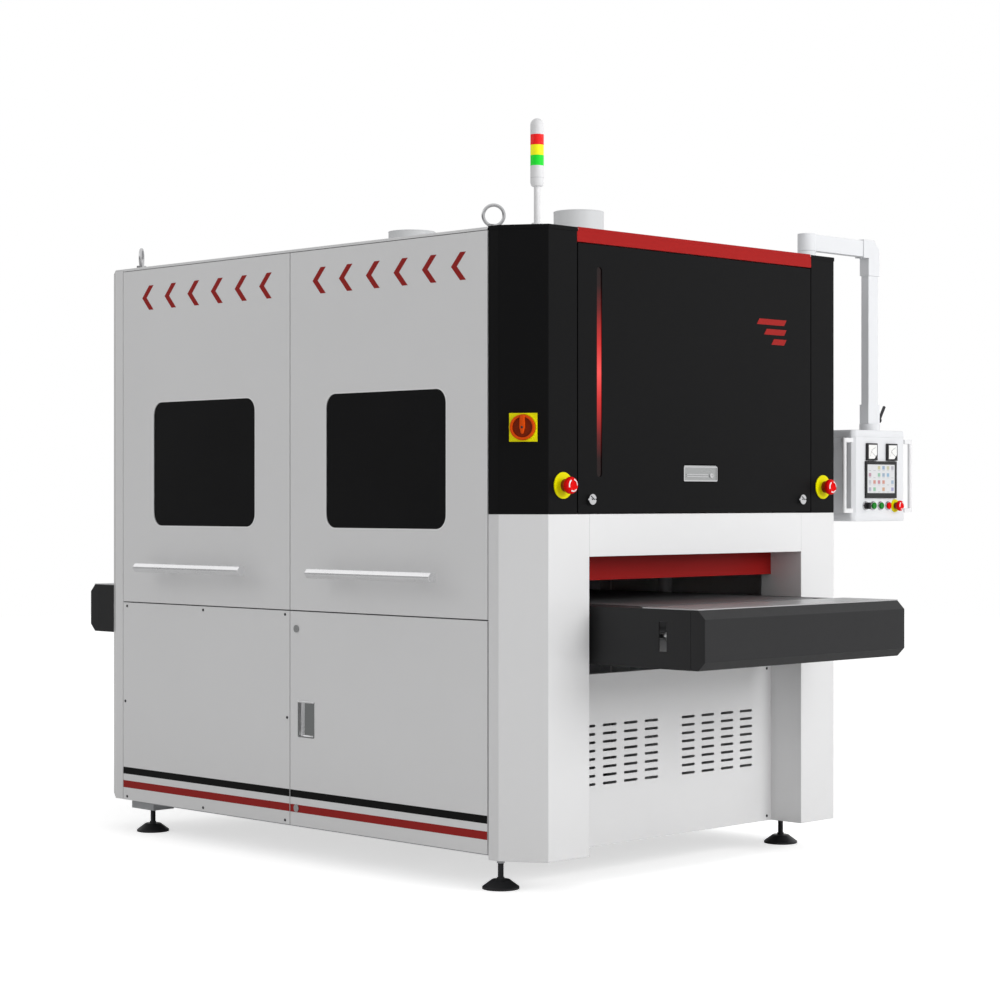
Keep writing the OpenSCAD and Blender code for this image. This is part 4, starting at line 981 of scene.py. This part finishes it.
def meters(s):
    for side, name in ((-1, "left"), (1, "right")):
        midX, midZ = boxMiddle.x + s["shift"] + side * s["apart"], boxTop - s["drop"]
        face = boxLow.y - s["case"]
        halfX, halfZ = s["wide"] / 2 - s["inset"], s["high"] / 2 - s["inset"]
        plate = block(name + "MeterDial", (midX - halfX, face - s["plate"], midZ - halfZ),
                      (midX + halfX, face + 0.2 * mm, midZ + halfZ))
        edit(plate, "FACE")
        pickAll()
        corner = Vector((midX + halfX, face, midZ - halfZ))
        bpy.ops.mesh.bisect(plane_co=corner + Vector((-s["cut"], 0, 0)), plane_no=(1, 0, -1), use_fill=True,
                            clear_outer=True)
        soften(plate, 0.3 * mm, 1)
        dress(plate, "dialWhite", "white_plastic", "panel_box")
        pivot = corner + Vector((-s["cut"] * 0.55, -s["plate"], s["cut"] * 0.55))
        marks = []
        for i in range(s["ticks"]):
            angle = math.radians(90 + 5 + s["sweep"] * i / (s["ticks"] - 1))
            long = s["tickLong"] * (1.5 if i % 5 == 0 else 1)
            mark = block("tick", (s["reach"], -0.25 * mm, -s["tickWide"] / 2),
                         (s["reach"] + long, 0.2 * mm, s["tickWide"] / 2))
            mark.rotation_euler = (0, -angle, 0)
            mark.location = pivot
            marks.append(fixPlace(mark))
        needle = block("needle", (0, -0.7 * mm, -0.6 * mm), (s["needle"], -0.3 * mm, 0.6 * mm))
        edit(needle, "FACE")
        pick(needle, "FACE", facing(0, 1))
        bpy.ops.transform.resize(value=(1, 1, 0.3))
        bpy.ops.object.mode_set(mode="OBJECT")
        needle.rotation_euler = (0, -math.radians(s["reading"]), 0)
        needle.location = pivot
        marks.append(fixPlace(needle))
        dress(joined(name + "MeterScale", marks), "blackPlastic", "black_plastic", "panel_box")


# Touch screen: a lit panel of plain coloured tiles on a pale ground, no lettering
screenSet = lengths({"wide": 167, "high": 105, "thick": 0.8, "left": 4, "drop": 178, "case": 8}, columns=6,
                     rows=4, gloss=0.3)


def screenFinish(low, size, s):
    made, shader, place = startFinish("screenTiles", {"Roughness": 0.12, "Emission Strength": 0.75,
                                                      "Specular IOR Level": s["gloss"]})
    x, y, z = place.axes()
    across = (x - low.x) / size.x * s["columns"]
    up = (z - low.z) / size.z * s["rows"]
    cell = across.node("CombineXYZ", None, {0: across.sum("FLOOR", across), 1: up.sum("FLOOR", up)})
    tint = cell.node("TexWhiteNoise", {"noise_dimensions": "2D"}, {"Vector": cell}, 0)
    lit = cell.node("TexWhiteNoise", {"noise_dimensions": "3D"}, {"Vector": cell}, 0)
    inTile = (across % 1).within(0.22, 0.78, 0.03) * (up % 1).within(0.3, 0.8, 0.03)
    inLine = (across % 1).within(0.25, 0.75, 0.02) * (up % 1).within(0.12, 0.18, 0.02)
    tile = tint.node("ValToRGB", {"stops": [
        (0.0, (0.75, 0.75, 0.78)), (0.25, (0.5, 0.52, 0.58)), (0.42, (0.12, 0.45, 0.75)),
        (0.6, (0.7, 0.1, 0.12)), (0.75, (0.8, 0.75, 0.12)), (0.9, (0.3, 0.3, 0.7)),
        (1.0, (0.2, 0.6, 0.3))]}, {"Fac": tint})
    ground = (inLine * 0.6).mix((0.9, 0.91, 0.92), (0.25, 0.26, 0.28))
    colour = (inTile * lit.over(0.25, 0.01) * 0.85).mix(ground, tile)
    feed(shader, {"Emission Color": colour,
                  "Base Color": (inTile * 0.2).mix((0.05, 0.05, 0.055), (0.1, 0.1, 0.1))})
    return made


def touchScreen(s):
    midX, midZ, face = boxMiddle.x - s["left"], boxTop - s["drop"], boxLow.y - s["case"]
    low = Vector((midX - s["wide"] / 2, face - s["thick"], midZ - s["high"] / 2))
    high = Vector((midX + s["wide"] / 2, face + 0.3 * mm, midZ + s["high"] / 2))
    finishes["screenTiles"] = screenFinish(low, high - low, s)
    panel = roundPlate("screenPanel", low, high, 1, 2 * mm, 0.3 * mm)
    dress(panel, "screenTiles", "black_plastic", "panel_box")


# Push buttons: chrome bezels and turned caps with a softly domed face
buttonSet = lengths({"ringIn": 12.4, "ringOut": 16.5, "ringHigh": 7, "short": 5})


def pushButtons(s):
    rings = []
    for node in ("start_button", "reset_button", "stop_button", "selector_knob"):
        low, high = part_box(node)
        place = Vector(((low.x + high.x) / 2, boxLow.y, (low.z + high.z) / 2))
        rings.append(ringed("bezel", place, [
            (s["ringIn"], 0), (s["ringOut"], 0), (s["ringOut"], s["ringHigh"] * 0.6),
            (s["ringOut"] - 1.5 * mm, s["ringHigh"]), (s["ringIn"], s["ringHigh"])], 1, 40, -1))
        if node == "selector_knob":
            continue
        radius, deep = (high.x - low.x) / 2, high.y - low.y - s["short"]
        cap = turned(node + "_finished", (place.x, high.y - s["short"], place.z), [
            (radius, 0), (radius, deep - 2.2 * mm), (radius - 0.7 * mm, deep - 0.9 * mm),
            (radius - 2.2 * mm, deep - 0.1 * mm), (radius - 3.4 * mm, deep),
            (radius - 4.4 * mm, deep - 0.7 * mm), (radius * 0.3, deep - 0.4 * mm)], 1, 40, -1)
        dress(cap, finishOf[node], slotOf[node], bodyOf[node], node)
    dress(joined("buttonBezels", rings), "chrome", "white_plastic", "panel_box")


# Yellow disc behind the emergency stop of the control box
discSet = lengths({"bore": 11.2, "radius": 24, "high": 3.8})


def stopDisc(s):
    low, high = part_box("pendant_stop_cap")
    place = ((low.x + high.x) / 2, boxLow.y, (low.z + high.z) / 2)
    made = ringed("pendantStopDisc", place, [
        (s["bore"], 0), (s["radius"], 0), (s["radius"], s["high"] - 1.4 * mm),
        (s["radius"] - 0.8 * mm, s["high"] - 0.4 * mm), (s["bore"] + 1.3 * mm, s["high"]),
        (s["bore"], s["high"])], 1, 48, -1)
    dress(made, "yellowPlastic", "yellow_plastic", "panel_box")


stopDisc(discSet)


# Cap mouldings above and below the control box
capSet = lengths({"upper": 29, "lower": 33.5, "edge": 6, "proud": 0.8, "wide": 320, "deep": 150,
                  "cornerX": 14, "cornerY": 12}, grow=1.012)


def boxCaps(s):
    wide, deep = s["wide"] / 2, s["deep"] / 2
    flatX, flatY = wide - s["cornerX"], deep - s["cornerY"]
    plan = [(-wide, -flatY), (-flatX, -deep), (flatX, -deep), (wide, -flatY),
            (wide, flatY), (flatX, deep), (-flatX, deep), (-wide, flatY)]
    for name, start, end in (("boxTopCap", boxTop - s["upper"], boxTop + s["proud"]),
                             ("boxBottomCap", boxLow.z - s["proud"], boxLow.z + s["lower"])):
        made = outline(name, [(boxMiddle.x + x * s["grow"], boxLow.y + deep + y * s["grow"], start)
                              for x, y in plan], "NGON")
        bpy.ops.mesh.extrude_region_move(TRANSFORM_OT_translate={"value": (0, 0, end - start)})
        pickAll()
        bpy.ops.mesh.normals_make_consistent(inside=False)
        modify(made, "BEVEL", {"width": s["edge"], "segments": 3, "limit_method": "ANGLE",
                               "angle_limit": math.radians(30)})
        smooth(made, 40)
        dress(made, "pendantPaint", "pendant_paint", "panel_box")


# Roof edges: black strips at the front corners, a red one between them, and light lips over the side doors
edgeSet = lengths({"thick": 2, "down": 12, "up": 1.5, "back": 180, "redUp": 3, "redDown": 8, "lip": 4,
                   "gap": 2})


def cornerStrip(name, points, low, high, thick):
    made = outline(name, [(x, y, low) for x, y in points])
    closing = (Vector(points[0]) + Vector(points[-1])) / 2
    bpy.ops.mesh.extrude_region_move(TRANSFORM_OT_translate={"value": (0, 0, high - low)})
    bpy.ops.mesh.select_all(action="DESELECT")
    bpy.ops.mesh.select_mode(type="FACE")
    pick(made, "FACE", lambda face: (face.calc_center_median().xy - closing).length < 1 * mm)
    bpy.ops.mesh.delete(type="FACE")
    modify(made, "SOLIDIFY", {"thickness": thick, "offset": 0, "use_even_offset": True})
    soften(made, 0.5 * mm, 1)
    return dress(made, "blackPaint", "black_paint", "machine")


def roofEdges(s):
    low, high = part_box("front_pillars")
    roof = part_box("roof_panel")[1].z
    doorLow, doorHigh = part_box("front_door")
    shift = s["thick"] * 0.3
    front = low.y - shift
    for name, side, end, sign in (("leftRoofEdge", low.x - shift, doorLow.x - s["gap"], 1),
                                  ("rightRoofEdge", high.x + shift, doorHigh.x + s["gap"], -1)):
        points = [(side, low.y + s["back"]), (side, low.y + chamferY), (side + sign * chamferX, front),
                  (end, front)]
        cornerStrip(name, points, roof - s["down"], roof + s["up"], s["thick"])
    strip = roundPlate("redRoofEdge", (doorLow.x, low.y - 0.4 * mm, roof - s["redDown"]),
                       (doorHigh.x, low.y + 2 * mm, roof + s["redUp"]), 1, 0.5 * mm, 0.3 * mm)
    dress(strip, "redPaint", "red_paint", "machine")
    front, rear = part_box("left_front_door"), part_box("left_rear_door")
    for name, near in (("leftRoofLip", low.x), ("rightRoofLip", high.x - s["thick"])):
        lip = roundPlate(name, (near, front[0].y, roof - 5 * mm - s["lip"]),
                         (near + s["thick"], rear[1].y, roof - 4.5 * mm), 0, 0.5 * mm, 0.3 * mm)
        dress(lip, "lightPaint", "light_paint", "machine")


roofEdges(edgeSet)


# A plain mark of slanted bars on the front door
markSet = {"bars": (150 * mm, 110 * mm, 70 * mm), "high": 20 * mm, "step": 34 * mm, "lean": 14 * mm,
           "thick": 0.5 * mm, "fromRight": 150 * mm, "below": 190 * mm}


def doorMark(s):
    low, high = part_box("front_door")
    bars = []
    for i, wide in enumerate(s["bars"]):
        right, top = high.x - s["fromRight"], high.z - s["below"] - i * s["step"]
        bar = block("bar", (right - wide, low.y - s["thick"], top - s["high"]), (right, low.y, top))
        edit(bar, "VERT")
        pick(bar, "VERT", lambda corner: corner.co.z > top - s["high"] / 2)
        bpy.ops.transform.translate(value=(s["lean"], 0, 0))
        modify(bar, "BEVEL", {"width": 0.15 * mm, "segments": 1})
        bars.append(bar)
    dress(joined("frontDoorMark", bars), "redVinyl", "red_paint", "front_hatch")


doorMark(markSet)
meters(meterSet)
touchScreen(screenSet)
pushButtons(buttonSet)
boxCaps(capSet)
print("control box dressed")

# Brush discs: radial abrasive flaps under a steel backing plate
flapSet = lengths({"plate": 40, "hub": 46, "inner": 52, "thick": 6, "low": 2, "stub": 15, "high": 136},
                   flaps=40)


def brushDiscs(s):
    flaps, metal = [], []
    for group in islands("brush_discs"):
        low, high = span(group)
        centre = (low + high) / 2
        radius = (high.x - low.x) / 2
        top = low.z + s["high"]
        under = top - s["plate"]
        model = block("flap", (s["inner"], -s["thick"] / 2, low.z + s["low"]),
                      (radius - 1 * mm, s["thick"] / 2, under + 2 * mm))
        edit(model, "EDGE")
        pick(model, "EDGE", along(2))
        bpy.ops.mesh.bevel(offset=1.2 * mm, segments=1, affect="EDGES")
        bpy.ops.object.mode_set(mode="OBJECT")
        for i in range(s["flaps"]):
            flap = bareCopy(model, "flap")
            flap.rotation_euler = (0, 0, 2 * math.pi * i / s["flaps"])
            flap.location = (centre.x, centre.y, 0)
            flaps.append(fixPlace(flap))
        bpy.data.objects.remove(model)
        metal.append(turned("backing", (centre.x, centre.y, 0), [
            (s["hub"], low.z + 20 * mm), (s["hub"], under), (radius - 3 * mm, under),
            (radius, under + 3 * mm), (radius, top - 3 * mm), (radius - 3 * mm, top), (s["hub"], top),
            (s["hub"] - 4 * mm, top + 14 * mm), (s["stub"], top + 16 * mm), (s["stub"], high.z)], 2, 48))
    cloth = joined("brush_discs_finished", flaps)
    dress(cloth, "abrasiveCloth", "abrasive", "carousel_spindle", "brush_discs")
    dress(joined("brushBackings", metal), "bareSteel", "bare_steel", "carousel_spindle")


brushDiscs(flapSet)

# Cooling fins, terminal box and fan cover of the conveyor motor, and fins of the head motor
motorSet = lengths({"thick": 3, "proud": 5, "radius": 65, "from": 225, "to": 40, "headFrom": 20,
                    "headStep": 14}, fins=15, headFins=16)


def fin(place, radius, sink, edge, axis, sides, s):
    outer = radius + s["proud"]
    return ringed("fin", place, [(radius - sink, 0), (outer, edge), (outer, s["thick"] - edge),
                                 (radius - sink, s["thick"])], axis, sides)


def motorFins(s):
    low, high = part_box("gearmotor")
    radius = s["radius"]
    centre = Vector((high.x - radius, 0, (low.z + high.z) / 2))
    start, end = high.y - s["from"], high.y - s["to"]
    step = (end - start) / (s["fins"] - 1)
    parts = [fin((centre.x, start + step * i, centre.z), radius, 1 * mm, 0.6 * mm, 1, 48, s)
             for i in range(s["fins"])]
    cover = turned("fanCover", (centre.x, high.y - 36 * mm, centre.z), [
        (radius + 3 * mm, 0), (radius + 3 * mm, 26 * mm), (radius - 4 * mm, 34 * mm), (radius * 0.5, 34 * mm),
        (radius * 0.45, 31 * mm), (radius * 0.2, 31 * mm)], 1, 48)
    case = roundPlate("terminalBox", (centre.x - 40 * mm, start + 30 * mm, centre.z + radius - 8 * mm),
                      (centre.x + 40 * mm, start + 130 * mm, centre.z + radius + 34 * mm), 2, 8 * mm, 3 * mm)
    dress(joined("conveyorMotorFins", parts + [cover, case]), "motorPaint", "motor_paint", "machine")
    low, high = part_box("head_motor")
    centre, radius = (low + high) / 2, (high.x - low.x) / 2
    foot = low.z + s["headFrom"]
    parts = [fin((centre.x, centre.y, foot + i * s["headStep"]), radius, 2 * mm, 0.8 * mm, 2, 64, s)
             for i in range(s["headFins"])]
    dress(joined("headMotorFins", parts), "motorPaint", "motor_paint", "work_head")


motorFins(motorSet)
print("brushes and motors made")


# Floor, lamps and the white surround
stageSet = {"floor": 30, "floorLift": 0.62, "surround": 0.54, "reflected": (0.3, 1.0),
            "key": {"place": (1.0, -7.5, 3.4), "aim": (-0.2, -0.6, 1.0), "size": (4.5, 3.5), "power": 262,
                    "mirrored": False},
            "fill": {"place": (-6.0, 3.0, 4.6), "aim": (-1.0, 0.4, 1.0), "size": (4.0, 3.0), "power": 28,
                     "mirrored": True}}


def lamp(name, s):
    data = bpy.data.lights.new(name, "AREA")
    data.shape = "RECTANGLE"
    data.size, data.size_y = s["size"]
    data.energy = s["power"]
    made = bpy.data.objects.new(name, data)
    made.visible_glossy = s["mirrored"]
    made.location = s["place"]
    made.rotation_euler = (Vector(s["aim"]) - Vector(s["place"])).to_track_quat("-Z", "Y").to_euler()
    bpy.context.scene.collection.objects.link(made)


def seenRays(tree):
    ray = tree.nodes.new("ShaderNodeLightPath").outputs
    camera, glossy, through = (Wire(tree, ray[name]) for name in
                               ("Is Camera Ray", "Is Glossy Ray", "Is Transmission Ray"))
    return camera, glossy, through


def paintSurround(s):
    world = bpy.data.worlds.new("studio")
    bpy.context.scene.world = world
    world.use_nodes = True
    tree = world.node_tree
    back = tree.nodes["Background"]
    back.inputs["Color"].default_value = (1, 1, 1, 1)
    camera, glossy, through = seenRays(tree)
    way = Wire(tree, tree.nodes.new("ShaderNodeTexCoord").outputs["Generated"])
    x, y, z = way.axes()
    toKey = (x * 0.5 - y * 0.62 + z * 0.6).over(0.15, 0.65)
    toKey = toKey.sum("MAXIMUM", toKey, z.over(0.28, 0.2))
    low, high = s["reflected"]
    mirrored = toKey * (high - low) + low
    level = glossy * mirrored + (1 - glossy) * s["surround"]
    white = camera.sum("MAXIMUM", camera, through)
    level = white + (1 - white) * level
    tree.links.new(level.socket, back.inputs["Strength"])


def layFloor(s):
    clear()
    bpy.ops.mesh.primitive_plane_add(size=s["floor"], location=(0, 0, 0))
    floor = fixPlace(bpy.context.object)
    floor.name = "studioFloor"
    made, shader, place = startFinish("studioFloor", {"Roughness": 0.9, "Specular IOR Level": 0.0,
                                                      "Base Color": (0.86, 0.86, 0.86, 1)})
    tree = made.node_tree
    camera, glossy, through = seenRays(tree)
    lift = camera.sum("MAXIMUM", camera, through) * s["floorLift"]
    shader.inputs["Emission Color"].default_value = (1, 1, 1, 1)
    tree.links.new(lift.socket, shader.inputs["Emission Strength"])
    floor.data.materials.append(made)


layFloor(stageSet)
paintSurround(stageSet)
lamp("keyLamp", stageSet["key"])
lamp("fillLamp", stageSet["fill"])
print("studio lit")
